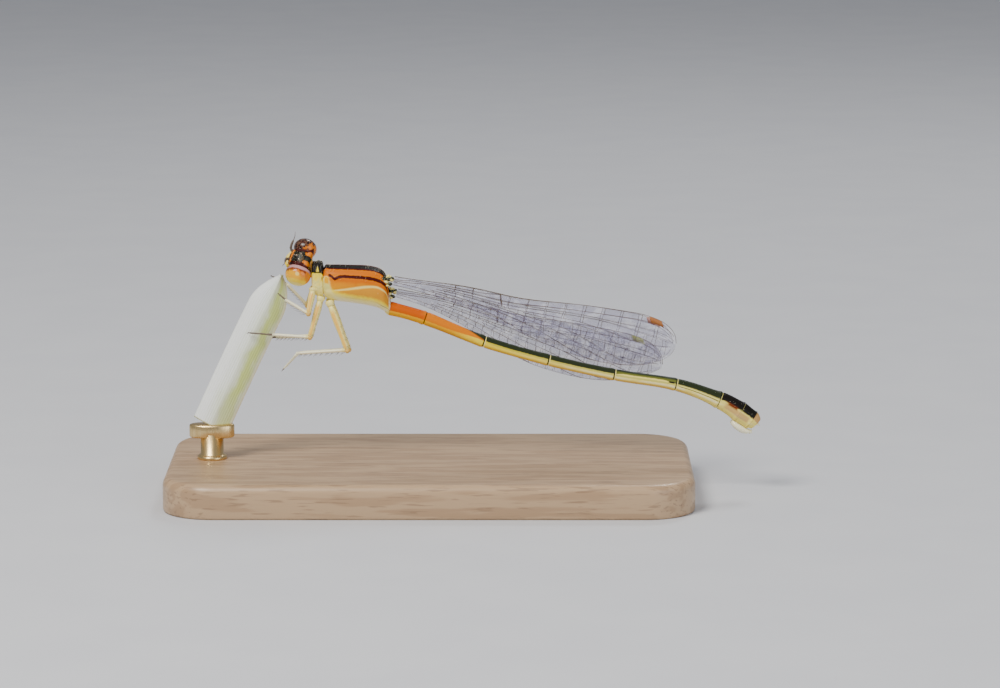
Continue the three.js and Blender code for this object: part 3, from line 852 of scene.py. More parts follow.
@dataclass(frozen=True)
class WoodFinish:
    """Pale fine-grained wood of the display base."""

    def make(self) -> bpy.types.Material:
        """Build the material.

        Returns:
            The material.
        """
        shader = Shader("stand_wood")
        grain = shader.noise(1.6, 4.0, (0.10, 1.0, 1.0))
        pores = shader.noise(0.16, 2.0, (0.08, 1.0, 1.0))
        rings = (grain * 34.0).maths("SINE")
        shader.base = shader.blend((0.50, 0.335, 0.19), (0.36, 0.22, 0.115), rings.above(0.1, 0.7) * 0.6)
        shader.lay((0.20, 0.115, 0.06), pores.above(0.62, 0.05) * 0.5)
        shader.dress(grain * 0.25 + 0.32, Coat_Weight=0.25, Coat_Roughness=0.25)
        shader.bump(pores, 0.03, 0.35)
        return shader.material


@dataclass(frozen=True)
class BrassFinish:
    """Satin brass of the rod and its cup."""

    def make(self) -> bpy.types.Material:
        """Build the material.

        Returns:
            The material.
        """
        shader = Shader("stand_brass")
        brushed = shader.noise(0.12, 3.0, (1.0, 1.0, 0.1))
        shader.base = shader.blend((0.78, 0.58, 0.28), (0.62, 0.43, 0.18), brushed.above(0.5, 0.2) * 0.6)
        shader.dress(brushed * 0.3 + 0.16, Metallic=1.0)
        shader.bump(brushed, 0.01, 0.3)
        return shader.material


@dataclass(frozen=True)
class FloorFinish:
    """Plain pale floor."""

    tint: Colour = (0.66, 0.67, 0.70)

    def make(self) -> bpy.types.Material:
        """Build the material.

        Returns:
            The material.
        """
        shader = Shader("pale_floor")
        speckle = shader.noise(6.0, 2.0)
        shader.base = shader.blend(self.tint, (0.68, 0.69, 0.715), speckle.above(0.5, 0.2))
        shader.dress(0.7)
        return shader.material


@dataclass
class Head:
    """Wide head between round eyes, rolled so that its crown faces the viewer."""

    centre: Colour = (-7.52, 0.10, 13.88)
    rightward: Colour = (0.319, 0.508, 0.800)
    forward: Colour = (-0.938, 0.287, 0.192)
    near_eye: tuple[Colour, Colour] = ((-0.94, -0.08, 0.0), (0.66, 0.76, 0.72))
    far_eye: tuple[Colour, Colour] = ((0.77, 0.08, 0.0), (0.60, 0.69, 0.66))
    voxel: float = 0.026

    def turn(self) -> Matrix:
        """Return the rotation from the head's own axes: right, forward, crown."""
        right = Vector(self.rightward).normalized()
        crown = right.cross(Vector(self.forward)).normalized()
        forward = crown.cross(right)
        return Matrix((right, forward, crown)).transposed()

    def lumps(self) -> list[tuple[Colour, Colour]]:
        """List the ellipsoids that make up the capsule.

        Returns:
            The centre and radii of each, in the head's frame.
        """
        lumps = [
            ((0.0, -0.04, 0.02), (1.02, 0.54, 0.56)),
            ((0.0, 0.40, -0.14), (0.56, 0.52, 0.52)),
            ((0.0, 0.76, -0.04), (0.45, 0.22, 0.18)),
            ((0.0, 0.86, -0.30), (0.47, 0.26, 0.16)),
            ((0.0, 0.81, -0.60), (0.49, 0.29, 0.22)),
            ((0.0, 0.34, -0.72), (0.40, 0.30, 0.18)),
            ((0.0, 0.26, 0.46), (0.15, 0.14, 0.12)),
            ((0.0, 0.06, 0.44), (0.38, 0.28, 0.14)),
            ((0.0, -0.34, 0.34), (0.52, 0.20, 0.16)),
        ]
        for side in (-1, 1):
            lumps += [
                ((side * 0.26, 0.54, 0.30), (0.17, 0.17, 0.14)),
                ((side * 0.42, 0.46, -0.46), (0.24, 0.24, 0.30)),
                ((side * 0.38, 0.62, -0.60), (0.13, 0.18, 0.15)),
                ((side * 0.40, -0.40, 0.22), (0.32, 0.20, 0.27)),
                ((side * 0.74, -0.34, 0.0), (0.30, 0.26, 0.46)),
            ]
        return lumps

    def build(self) -> list[bpy.types.Object]:
        """Build the capsule, simple eyes, eyes, antennae and neck.

        Returns:
            The finished pieces.
        """
        turn, centre = self.turn(), Vector(self.centre)
        made = [self.capsule(turn, centre), self.ocelli(turn, centre), *self.eyes(turn, centre)]
        return made + [*self.antennae(turn, centre), self.neck(turn, centre)]

    def capsule(self, turn: Matrix, centre: Vector) -> bpy.types.Object:
        """Fuse the lumps into one skin, cut the mouth's grooves and set it in place.

        Args:
            turn: Rotation from the head's axes.
            centre: The head's middle.

        Returns:
            The finished piece.
        """
        rough = Draft()
        for middle, radii in self.lumps():
            rough.ball(Vector(middle), radii, columns=28, rows=18)
        finish = HeadFinish().make()
        capsule = rough.build("head_capsule", [finish])
        for vertex in capsule.data.vertices:
            vertex.co /= MM
        remesh = capsule.modifiers.new("fuse", "REMESH")
        remesh.mode = "VOXEL"
        remesh.voxel_size = self.voxel
        remesh.use_smooth_shade = True
        capsule.modifiers.new("soften", "SMOOTH").iterations = 5
        evaluated = capsule.evaluated_get(bpy.context.evaluated_depsgraph_get())
        fused = bpy.data.meshes.new_from_object(evaluated)
        capsule.modifiers.clear()
        capsule.data = fused
        fused.materials.clear()
        fused.materials.append(finish)
        spots = fused.attributes.get(PLACE) or fused.attributes.new(PLACE, "FLOAT_VECTOR", "POINT")
        spots.data.foreach_set("vector", [number for vertex in fused.vertices for number in vertex.co])
        for vertex in fused.vertices:
            local = vertex.co.copy()
            groove = 0.04 * math.exp(-((local.z + 0.42) / 0.03) ** 2) * smoothstep((local.y - 0.6) / 0.2)
            seam = 0.02 * math.exp(-((local.z + 0.18) / 0.025) ** 2) * smoothstep((local.y - 0.55) / 0.2)
            local.y -= groove + seam
            vertex.co = (centre + turn @ local) * MM
        return settle(capsule, "face", "head")

    def ocelli(self, turn: Matrix, centre: Vector) -> bpy.types.Object:
        """Build the three small simple eyes on the crown.

        Args:
            turn: Rotation from the head's axes.
            centre: The head's middle.

        Returns:
            The finished piece.
        """
        draft = Draft()
        for x, y, z in ((-0.19, 0.03, 0.545), (0.19, 0.03, 0.545), (0.0, 0.25, 0.56)):
            draft.ball(centre + turn @ Vector((x, y, z)), (0.062, 0.062, 0.055), turn, 18, 12)
        return settle(draft.build("head_ocelli", [OcellusFinish().make()]), "face")

    def eyes(self, turn: Matrix, centre: Vector) -> list[bpy.types.Object]:
        """Build the two eyes, each a glossy ball set into its side of the head.

        Args:
            turn: Rotation from the head's axes.
            centre: The head's middle.

        Returns:
            The left and the right eye.
        """
        # the near eye's mauve inner band is a painted sky reflection, and its pale share of 1.0 lays a
        # painted cream highlight
        near = EyeFinish("eye_near_side", Wax.SKY_REFLECTION_MAUVE, 0.16, 2.0, 1.0)
        far = EyeFinish("eye_far_side", Wax.MAROON, 0.50, -0.30, 0.0)
        made = []
        for (side, label), (offset, radii), finish in zip(SIDES, (self.near_eye, self.far_eye), (near, far)):
            draft = Draft()
            draft.ball(centre + turn @ Vector(offset), radii, turn, 72, 48,
                       place=lambda unit, s=side: Vector((unit.x * s, unit.y, unit.z)))
            eye = draft.build(f"eye_{label}_faceted", [finish.make()])
            made.append(settle(eye, "eye", f"eye_{label}"))
        return made

    def antennae(self, turn: Matrix, centre: Vector) -> list[bpy.types.Object]:
        """Build the two short feelers: a thick foot, a waist and a fine whip.

        Args:
            turn: Rotation from the head's axes.
            centre: The head's middle.

        Returns:
            The left and the right feeler.
        """
        made = []
        finish = PlainCuticle("antenna_cuticle", Wax.SMOKE, Wax.BLACK).make()
        for side, label in SIDES:
            draft = Draft()
            joints = [
                (0.27, 0.62, 0.34, 0.085), (0.30, 0.70, 0.44, 0.095), (0.33, 0.73, 0.50, 0.060),
                (0.36, 0.75, 0.56, 0.078), (0.52, 0.72, 0.74, 0.070), (0.70, 0.66, 0.88, 0.056),
                (0.74, 0.64, 0.92, 0.026), (0.95, 0.60, 1.06, 0.020), (1.17, 0.63, 1.21, 0.009),
            ]
            path = [centre + turn @ Vector((side * x, y, z)) for x, y, z, _ in joints]
            draft.tube(path, [radius for *_, radius in joints], 12, side=turn @ Vector((0.3, 0, 1)))
            feeler = draft.build(f"antenna_{label}_whip", [finish])
            made.append(settle(feeler, "dark_cuticle", f"antenna_{label}"))
        return made

    def neck(self, turn: Matrix, centre: Vector) -> bpy.types.Object:
        """Build the thin soft neck between the head and the prothorax.

        Args:
            turn: Rotation from the head's axes.
            centre: The head's middle.

        Returns:
            The finished piece.
        """
        draft = Draft()
        start = centre + turn @ Vector((0.0, -0.38, -0.06))
        end = Vector((-6.78, 0.0, 13.0))
        path = [start.lerp(end, i / 5) for i in range(6)]
        draft.tube(path, [0.30, 0.24, 0.20, 0.21, 0.26, 0.30], 20, side=Vector((0, 1, 0)))
        finish = PlainCuticle("neck_cuticle", Wax.OCHRE, Wax.SMOKE).make()
        return settle(draft.build("neck_membrane", [finish]), "face")


@dataclass
class Thorax:
    """Prothorax collar and the long slanting box that carries wings and legs."""

    stations: tuple = (
        (-6.38, 12.66, 0.42, 0.40), (-6.27, 12.67, 0.72, 0.60), (-6.12, 12.66, 0.94, 0.76),
        (-5.85, 12.60, 1.00, 0.86), (-5.40, 12.55, 1.05, 0.96), (-4.60, 12.49, 1.09, 1.02),
        (-3.80, 12.41, 1.14, 1.04), (-3.15, 12.28, 1.16, 1.00), (-2.76, 12.08, 1.15, 0.92),
        (-2.56, 11.88, 1.03, 0.76), (-2.44, 11.56, 0.74, 0.58), (-2.32, 11.12, 0.38, 0.38),
    )
    collar: tuple = (
        (-6.96, 12.96, 0.50, 0.40), (-6.90, 12.90, 0.88, 0.60), (-6.82, 12.86, 1.00, 0.66),
        (-6.74, 12.84, 0.99, 0.66), (-6.64, 12.83, 1.05, 0.70), (-6.54, 12.82, 1.09, 0.72),
        (-6.44, 12.82, 1.04, 0.70), (-6.37, 12.80, 1.07, 0.70), (-6.30, 12.76, 1.00, 0.66),
        (-6.22, 12.70, 0.60, 0.46),
    )
    columns: int = 96
    rows: int = 90
    power: float = 0.86

    def point(self, stations: tuple, t: float, angle: float, relief: float = 0.0) -> Vector:
        """Return a point of a body surface.

        Args:
            stations: The body's cross sections.
            t: Share along it.
            angle: Turn from the top, toward +Y.
            relief: Share by which the surface stands out.

        Returns:
            The point.
        """
        x, z, height, width = spline(stations, t)
        across = math.copysign(abs(math.sin(angle)) ** self.power, math.sin(angle)) * width * (1 + relief)
        up = math.copysign(abs(math.cos(angle)) ** self.power, math.cos(angle)) * height * (1 + relief)
        return Vector((x, across, z + up))

    def relief(self, t: float, turn: float) -> float:
        """Work out the crest and the grooves of the thorax.

        Args:
            t: Share along it.
            turn: Turn from the top, 0 to 1.

        Returns:
            The share by which the surface stands out.
        """
        middle = smoothstep(t / 0.2) * smoothstep((1 - t) / 0.25)
        crest = 0.055 * math.exp(-(turn / 0.02) ** 2)
        shoulder = -0.035 * math.exp(-((turn - 0.345) / 0.013) ** 2)
        slant = 0.62 - 0.17 * smoothstep((t - 0.14) / 0.56)
        suture = -0.03 * math.exp(-((turn - slant) / 0.014) ** 2)
        lower = -0.025 * math.exp(-((turn - 0.735) / 0.014) ** 2)
        return middle * (crest + shoulder + suture + lower)

    def surface(self, draft: Draft, stations: tuple, rows: int, slot: int, carved: bool) -> None:
        """Add one body surface to a draft.

        Args:
            draft: Takes the surface.
            stations: The body's cross sections.
            rows: Faces along it.
            slot: Its material slot.
            carved: Whether it has the crest and the grooves.
        """
        rings, spots = [], []
        for row in range(rows + 1):
            t = row / rows
            ring, spot = [], []
            for column in range(self.columns):
                angle = 2 * math.pi * column / self.columns
                turn = min(angle, 2 * math.pi - angle) / math.pi
                ring.append(self.point(stations, t, angle, self.relief(t, turn) if carved else 0.0))
                spot.append(Vector((t, turn, math.sin(angle))))
            rings.append(ring)
            spots.append(spot)
        draft.skin(rings, spots, slot)

    def build(self) -> Draft:
        """Return the draft of both bodies: slot 0 the thorax, slot 1 the collar."""
        draft = Draft()
        self.surface(draft, self.stations, self.rows, 0, True)
        self.surface(draft, self.collar, 40, 1, False)
        return draft


@dataclass
class Abdomen:
    """Ten slender segments that sag away from the thorax, with the egg-laying valves."""

    line: tuple = (
        (-2.60, -0.04, 11.12), (-2.16, -0.05, 10.94), (-0.26, -0.15, 10.47), (3.22, -0.30, 9.10),
        (7.03, -0.35, 8.00), (10.91, -0.35, 7.13), (14.56, -0.30, 6.52), (17.13, -0.20, 5.57),
        (18.34, -0.15, 4.85), (19.02, -0.10, 4.36), (19.28, -0.10, 4.10),
    )
    radii: tuple = (0.27, 0.41, 0.40, 0.35, 0.34, 0.34, 0.37, 0.49, 0.58, 0.53, 0.32)
    clasper: tuple = (
        (-0.30, 0.12, 0.16, 0.10), (-0.04, 0.17, 0.10, 0.10), (0.12, 0.18, 0.02, 0.075),
        (0.22, 0.16, -0.07, 0.02),
    )
    valve: tuple = (
        (-1.42, 0.10, 0.20, 0.16), (-1.12, 0.12, -0.10, 0.21), (-0.80, 0.12, -0.32, 0.20),
        (-0.55, 0.11, -0.42, 0.15), (-0.34, 0.09, -0.42, 0.08), (-0.22, 0.08, -0.36, 0.03),
    )
    feeler: tuple = ((-0.42, 0.14, -0.40, 0.04), (-0.30, 0.17, -0.46, 0.035), (-0.2, 0.17, -0.52, 0.012))
    columns: int = 40
    rows_each: int = 22

    def radius(self, segment: int, share: float) -> float:
        """Return the radius in a segment, pinched at its start and flared at its end."""
        base = mixed(self.radii[segment], self.radii[segment + 1], share)
        waist = 0.0 if segment in (0, 9) else 0.055 * math.sin(math.pi * share)
        pinch = 0.07 * math.exp(-(share / 0.03) ** 2) + 0.05 * math.exp(-((1 - share) / 0.012) ** 2)
        flare = 0.05 * smoothstep((share - 0.86) / 0.1)
        return base * (1 - waist - pinch + flare)

    def centre(self, segment: int, share: float) -> Vector:
        """Return the middle line's point in a segment."""
        if segment < 2:
            whole = [self.line[0], self.line[2], self.line[3], self.line[4]]
            ends = (0.0, 0.16, 1.0)
            return Vector(spline(whole, mixed(ends[segment], ends[segment + 1], share) / 3))
        return Vector(spline(self.line[1:], (segment - 1 + share) / (len(self.line) - 2)))

    def build(self, slot: int) -> Draft:
        """Return the draft of all segments, the claspers and the valves.

        Args:
            slot: Material slot of the segments, while the next one takes the pale valves.

        Returns:
            The draft.
        """
        draft = Draft()
        across = Vector((0, 1, 0))
        stations = [(s, i / self.rows_each) for s in range(10) for i in range(self.rows_each)]
        stations.append((9, 1.0))
        path = [self.centre(s, share) for s, share in stations]
        rings, spots = [], []
        for i, (segment, share) in enumerate(stations):
            along = (path[min(i + 1, len(path) - 1)] - path[max(i - 1, 0)]).normalized()
            over = along.cross(across).normalized()
            over = over if over.z > 0 else -over
            radius = self.radius(segment, share)
            tall = 1.0 + 0.10 * smoothstep((segment + share - 6.6) / 0.8)
            ring, spot = [], []
            for column in range(self.columns):
                angle = 2 * math.pi * column / self.columns
                turn = min(angle, 2 * math.pi - angle) / math.pi
                keel = 1.0 + 0.05 * math.exp(-((turn - 0.93) / 0.08) ** 2)
                ring.append(path[i] + across * math.sin(angle) * radius * 0.94 * keel
                            + over * math.cos(angle) * radius * tall * keel)
                spot.append(Vector((segment + 1 + min(share, 0.9999), turn, math.sin(angle))))
            rings.append(ring)
            spots.append(spot)
        draft.skin(rings, spots, slot)
        self.appendages(draft, slot)
        return draft

    def appendages(self, draft: Draft, slot: int) -> None:
        """Add the two short claspers and the valves under segments eight to ten.

        Args:
            draft: Takes the pieces.
            slot: Material slot of the segments, while the next one takes the pale valves.
        """
        tail = Vector(self.line[-1])
        for side in (-1, 1):
            for rows, sides in ((self.clasper, 12), (self.valve, 14), (self.feeler, 6)):
                path = [tail + Vector((x, side * y, z)) for x, y, z, _ in rows]
                draft.tube(path, [radius for *_, radius in rows], sides, slot + 1)
        for i in range(6):
            share = i / 5
            spot = tail + Vector((mixed(-0.95, -0.35, share), 0.0, mixed(-0.40, -0.56, share)))
            draft.ball(spot, (0.035, 0.05, 0.035), columns=8, rows=6, slot=slot + 1)


@dataclass
class Legs:
    """Six slim spiny legs: hip, thigh, shin and a three-jointed foot with two claws."""

    joints: dict = field(default_factory=lambda: {
        "foreleg_left": (
            (-6.86, -0.50, 12.30), (-7.12, -1.20, 10.90), (-8.45, -0.78, 11.66), (-8.86, -0.62, 11.98),
        ),
        "foreleg_right": (
            (-6.82, 0.50, 12.20), (-7.30, 1.20, 11.00), (-8.50, 0.98, 12.35), (-9.32, 0.78, 12.82),
        ),
        "midleg_left": (
            (-6.40, -0.42, 11.80), (-7.04, -1.25, 9.50), (-9.21, -0.85, 9.60), (-10.63, -0.58, 9.67),
        ),
        "midleg_right": (
            (-6.40, 0.42, 11.70), (-7.10, 1.25, 9.15), (-9.10, 1.02, 9.13), (-10.40, 0.80, 9.16),
        ),
        "hindleg_left": (
            (-5.94, -0.42, 11.55), (-4.84, -1.45, 8.75), (-7.80, -1.15, 8.55), (-8.62, -1.00, 7.60),
        ),
        "hindleg_right": (
            (-5.94, 0.42, 11.55), (-4.84, 1.45, 8.30), (-7.80, 1.25, 8.15), (-8.62, 1.10, 7.30),
        ),
    })
    hip_radii: tuple = (0.22, 0.25, 0.22, 0.17)
    thigh_radii: tuple = (0.16, 0.185, 0.20, 0.195, 0.18, 0.165, 0.155, 0.165, 0.13)
    shin_radii: tuple = (0.12, 0.105, 0.10, 0.098, 0.095, 0.095, 0.092, 0.095, 0.10, 0.07)
    foot_marks: tuple = (0.0, 0.22, 0.25, 0.52, 0.55, 0.93, 1.0)
    foot_radii: tuple = (0.06, 0.062, 0.045, 0.058, 0.042, 0.05, 0.03)
    thigh_radius: float = 0.19
    shin_radius: float = 0.105
    spine_length: float = 0.34
    spine_radius: float = 0.011

    def build(self) -> list[bpy.types.Object]:
        """Build the six legs, each with its own spines.

        Returns:
            The finished legs.
        """
        finish = LegFinish().make()
        spine_finish = PlainCuticle("leg_spine", Wax.SMOKE, Wax.BLACK).make()
        made = []
        for name, joints in self.joints.items():
            draft = Draft()
            points = [Vector(joint) for joint in joints]
            self.leg(draft, points, 0.15 if name.startswith("hind") else 1.0)
            self.spines(draft, points, random.Random(name))
            made.append(settle(draft.build(f"{name}_jointed", [finish, spine_finish]), "leg", name))
        return made

    def leg(self, draft: Draft, joints: list[Vector], dark: float) -> None:
        """Add the hip, thigh, shin, foot and claws.

        Args:
            draft: Takes the pieces.
            joints: The hip, knee, ankle and claw points.
            dark: How dark the foot is.
        """
        hip, knee, ankle, claw = joints
        thigh = knee - hip
        side = Vector((0.2, 1, 0.1)).normalized()
        lengths = (
            (0.0, 0.1, hip, hip + thigh * 0.12, self.hip_radii),
            (0.1, 0.88, hip + thigh * 0.07, knee, self.thigh_radii),
            (1.0, 0.99, knee - thigh * 0.012, ankle, self.shin_radii),
        )
        for first, reach, start, end, radii in lengths:
            path = [start.lerp(end, i / (len(radii) - 1)) for i in range(len(radii))]
            place = lambda s, t, n=first, r=reach: Vector((n + s * r, t, dark))
            draft.tube(path, radii, 16, 0, place, side)
        draft.ball(knee, (0.15, 0.14, 0.15), None, 14, 10, 0, lambda unit: Vector((1.0, 0.25, dark)))
        draft.ball(ankle, (0.085, 0.08, 0.085), None, 12, 8, 0, lambda unit: Vector((1.98, 0.25, dark)))
        foot = [ankle.lerp(claw, mark) for mark in self.foot_marks]
        draft.tube(foot, self.foot_radii, 12, 0, lambda s, t: Vector((2.1 + s * 0.8, t, dark)), side)
        along = (claw - ankle).normalized()
        for turn in (-1, 1):
            spread = side * turn * 0.055
            end = claw + along * 0.15 + spread * 1.5 - Vector((0, 0, 0.05))
            hook = [claw - along * 0.03, claw + along * 0.09 + spread, end]
            draft.tube(hook, [0.026, 0.018, 0.004], 6, 1, side=side)

    def spines(self, draft: Draft, joints: list[Vector], rng: random.Random) -> None:
        """Add two rows of long spines on the shin and shorter ones on the thigh.

        Args:
            draft: Takes the spines.
            joints: The hip, knee, ankle and claw points.
            rng: Draws their places and lengths.
        """
        hip, knee, ankle, _ = joints
        rows = ((knee, ankle, 9, 1.0, self.shin_radius), (hip, knee, 7, 0.62, self.thigh_radius))
        for start, end, count, reach, lift in rows:
            along = (end - start).normalized()
            outer = Vector((0, 1, 0)).cross(along).normalized()
            for i in range(count):
                share = (i + 0.7) / (count + 0.4)
                for turn in (-1, 1):
                    lean = (Vector((0, turn * 0.85, 0)) + outer * -0.75).normalized()
                    root = start.lerp(end, share + rng.uniform(-0.012, 0.012)) + lean * lift * 0.85
                    length = self.spine_length * reach * rng.uniform(0.85, 1.1)
                    draft.hair(root, lean * 0.75 + along * 0.8, length, self.spine_radius, 1)


@dataclass
class Wing:
    """One clear wing with raised veins that fan out from a narrow stalk to a netted blade."""

    name: str
    root: Colour
    tip: tuple[float, float]
    layer: float
    scale: float
    spot: Wax
    trail_reach: float = 2.02
    trail_corner: float = 0.74
    trail_bow: float = 2.0
    trail_power: float = 0.5
    sway_length: float = 6.5
    lean: float = 0.10
    lead_reach: float = 1.42
    root_reach: float = 0.26
    lead_corner: float = 0.84
    nodus: float = 0.37
    stigma_from: float = 0.885
    stigma_to: float = 0.932
    half_thickness: float = 0.010
    main_radius: float = 0.019
    cross_radius: float = 0.0105
    cross_count: int = 30

    def lead(self, t: float) -> float:
        """Return the front edge's height above the middle line at a share of the length."""
        if t >= self.lead_corner:
            bow = (t - self.lead_corner) / (1 - self.lead_corner)
            return self.lead_reach * self.scale * math.sqrt(max(1 - bow ** 3, 0.0))
        dip = 0.29 * math.exp(-((t - 0.44) / 0.17) ** 2)
        rise = (self.lead_reach - self.root_reach) * t / self.lead_corner
        return (self.root_reach + rise - dip) * self.scale

    def trail(self, t: float) -> float:
        """Return the hind edge's depth below the middle line at a share of the length."""
        if t >= self.trail_corner:
            bow = (t - self.trail_corner) / (1 - self.trail_corner)
            return self.trail_reach * self.scale * max(1 - bow ** self.trail_bow, 0.0) ** self.trail_power
        rise = (self.trail_reach - self.root_reach) * smoothstep((t - 0.03) / (self.trail_corner - 0.03))
        return (self.root_reach + rise) * self.scale

    def point(self, t: float, f: float, out: float = 0.0) -> Vector:
        """Return a point of the wing.

        Args:
            t: Share of the length from root to tip.
            f: Share of the depth from the front edge to the hind edge.
            out: Distance from the wing's middle surface, toward +Y.

        Returns:
            The point.
        """
        start = Vector(self.root)
        reach = Vector((self.tip[0] - self.root[0], 0.0, self.tip[1] - self.root[2]))
        axis = reach.normalized()
        down = Vector((axis.z, 0.0, -axis.x))
        lead, trail = self.lead(t), self.trail(t)
        drop = -lead + (lead + trail) * f
        sway = (self.layer - self.root[1]) * smoothstep(t * reach.length / self.sway_length)
        pleat = 0.045 * math.sin(f * 9 * math.pi) * smoothstep((t - 0.1) / 0.2)
        pleat *= 1 - smoothstep((t - 0.8) / 0.2)
        across = Vector((0, sway + drop * self.lean + pleat + out, 0))
        return start + axis * t * reach.length + down * drop + across

    @staticmethod
    def sweep(depth: float, start: float, end: float, last: float = 1.0) -> Callable[[float], float]:
        """Return the depth of a vein that bends back toward the hind edge."""
        return lambda t: mixed(depth, last, smoothstep((t - start) / (end - start)) ** 1.6)

    @staticmethod
    def narrowing(wide: float, narrow: float, t: float) -> float:
        """Return a depth that shrinks past the nodus, where the veins draw together."""
        return mixed(wide, narrow, smoothstep((t - 0.28) / 0.27))

    def second_vein(self, t: float) -> float:
        """Return the depth of the vein that ends at the nodus."""
        return mixed(0.34, 0.15, smoothstep(t / 0.08)) * (1 - (t / self.nodus) ** 9)

    def third_vein(self, t: float) -> float:
        """Return the depth of the strong vein that runs to the tip."""
        depth = mixed(0.50, self.narrowing(0.27, 0.13, t), smoothstep(t / 0.12))
        return depth - 0.02 * smoothstep((t - 0.5) / 0.4)

    def last_vein(self, t: float) -> float:
        """Return the depth of the vein that closes the stalk and meets the hind edge."""
        if t < 0.30:
            return mixed(0.66, 0.80, smoothstep(t / 0.2))
        return mixed(0.80, 1.0, smoothstep((t - 0.30) / 0.26))

    def veins(self) -> list[tuple[float, float, float, Callable[[float], float]]]:
        """List the long veins.

        Returns:
            The start, end, radius and depth of each, the depth as a function of the length's share.
        """
        main, near, sweep = self.main_radius, self.narrowing, self.sweep
        return [
            (0.0, 0.999, main * 1.15, lambda t: 0.0),
            (0.0, self.nodus, main, self.second_vein),
            (0.0, 0.985, main * 1.1, self.third_vein),
            (0.17, 0.985, main * 0.8, lambda t: near(0.38, 0.24, t) + 0.15 * smoothstep((t - 0.7) / 0.29)),
            (0.46, 0.992, main * 0.7, lambda t: 0.19 + 0.08 * smoothstep((t - 0.6) / 0.4)),
            (0.31, 0.985, main * 0.75, lambda t: near(0.46, 0.335, t) + 0.25 * smoothstep((t - 0.62) / 0.37)),
            (0.46, 0.97, main * 0.65, sweep(0.405, 0.60, 0.97, 0.90)),
            (0.15, 0.93, main * 0.8, sweep(0.50, 0.48, 0.93)),
            (0.33, 0.86, main * 0.65, sweep(0.57, 0.42, 0.86)),
            (0.13, 0.76, main * 0.8, sweep(0.65, 0.32, 0.76)),
            (0.0, 0.56, main * 0.8, self.last_vein),
            (0.0, 0.999, main * 0.6, lambda t: 1.0),
        ]

    def build(self, membrane: bpy.types.Material, vein: bpy.types.Material,
              spots: dict[Wax, bpy.types.Material]) -> bpy.types.Object:
        """Build the wing as one piece.

        Args:
            membrane: Finish of the clear skin.
            vein: Finish of the veins.
            spots: Finishes of the coloured cell near the tip, by tint.

        Returns:
            The finished wing.
        """
        draft = Draft()
        self.skin(draft)
        rng = random.Random(self.name)
        steps = 74
        for start, end, radius, depth in self.veins():
            shares = [mixed(start, end, 1 - (1 - i / steps) ** 1.15) for i in range(steps + 1)]
            path = [self.point(t, depth(t)) for t in shares]
            radii = [radius * mixed(0.95, 0.72, t) for t in shares]
            draft.tube(path, radii, 6, 1, side=Vector((0, 1, 0.3)).normalized())
        self.cross_veins(draft, rng)
        self.stigma_cell(draft)
        made = draft.build(f"{self.name}_veined", [membrane, vein, spots[self.spot]])
        return settle(made, "wing", self.name)

    def skin(self, draft: Draft) -> None:
        """Add the clear skin: one closed thin sheet that goes around both faces."""
        columns, rows = 90, 30
        rings, spots = [], []
        for i in range(columns + 1):
            t = 0.999 * (1 - (1 - i / columns) ** 1.25)
            front = [(row / rows, -1) for row in range(rows + 1)]
            around = front + [(f, 1) for f, _ in reversed(front)]
            rings.append([self.point(t, f, face * self.half_thickness) for f, face in around])
            spots.append([Vector((t, f, face)) for f, face in around])
        draft.skin(rings, spots, 0)

    def cross_veins(self, draft: Draft, rng: random.Random) -> None:
        """Add the short veins that net the cells between the long ones.

        Args:
            draft: Takes the veins.
            rng: Draws how far each one is off its row.
        """
        for i in range(3, self.cross_count):
            t = (i + 0.5) / self.cross_count * 0.975
            levels = sorted(depth(t) for start, end, _, depth in self.veins() if start <= t <= end)
            for upper, lower in zip(levels, levels[1:]):
                front = upper < 0.33
                antenodal = front and t < self.nodus
                hidden = antenodal and i not in (6, 8) or front and i % 2 and t > self.nodus
                if lower - upper < 0.02 or hidden or upper < 0.05 and self.stigma_from < t < self.stigma_to:
                    continue
                slip = (0.1 if front else 0.5) * rng.uniform(-0.5, 0.5) / self.cross_count
                shift = 0.0 if front else rng.uniform(-0.15, 0.25) / self.cross_count
                ends = [self.point(t + slip, upper), self.point(min(t + slip + shift, 0.995), lower)]
                radius = self.cross_radius * (1.5 if front else 1.0)
                draft.tube(ends, [radius, radius], 4, 1, side=Vector((1, 0.2, 0)).normalized())
        for step in range(8):
            share = step / 7
            t = mixed(self.nodus, self.nodus + 0.012, share)
            ends = [self.point(t, share * 0.33), self.point(t + 0.002, share * 0.33 + 0.05)]
            draft.tube(ends, [0.034, 0.028], 5, 1, side=Vector((1, 0.2, 0)).normalized())

    def stigma_cell(self, draft: Draft) -> None:
        """Add the thick coloured cell on the front edge near the tip."""
        columns = 10
        rings, spots = [], []
        for i in range(columns + 1):
            share = i / columns
            ring = []
            for f, face in ((0.0, -1), (0.055, -1), (0.11, -1), (0.11, 1), (0.055, 1), (0.0, 1)):
                slant = 0.012 * f / 0.11
                t = mixed(self.stigma_from, self.stigma_to, share) + slant
                ring.append(self.point(t, f, face * (self.half_thickness + 0.014)))
            rings.append(ring)
            spots.append([Vector((share, 0, 0))] * 6)
        draft.skin(rings, spots, 2)


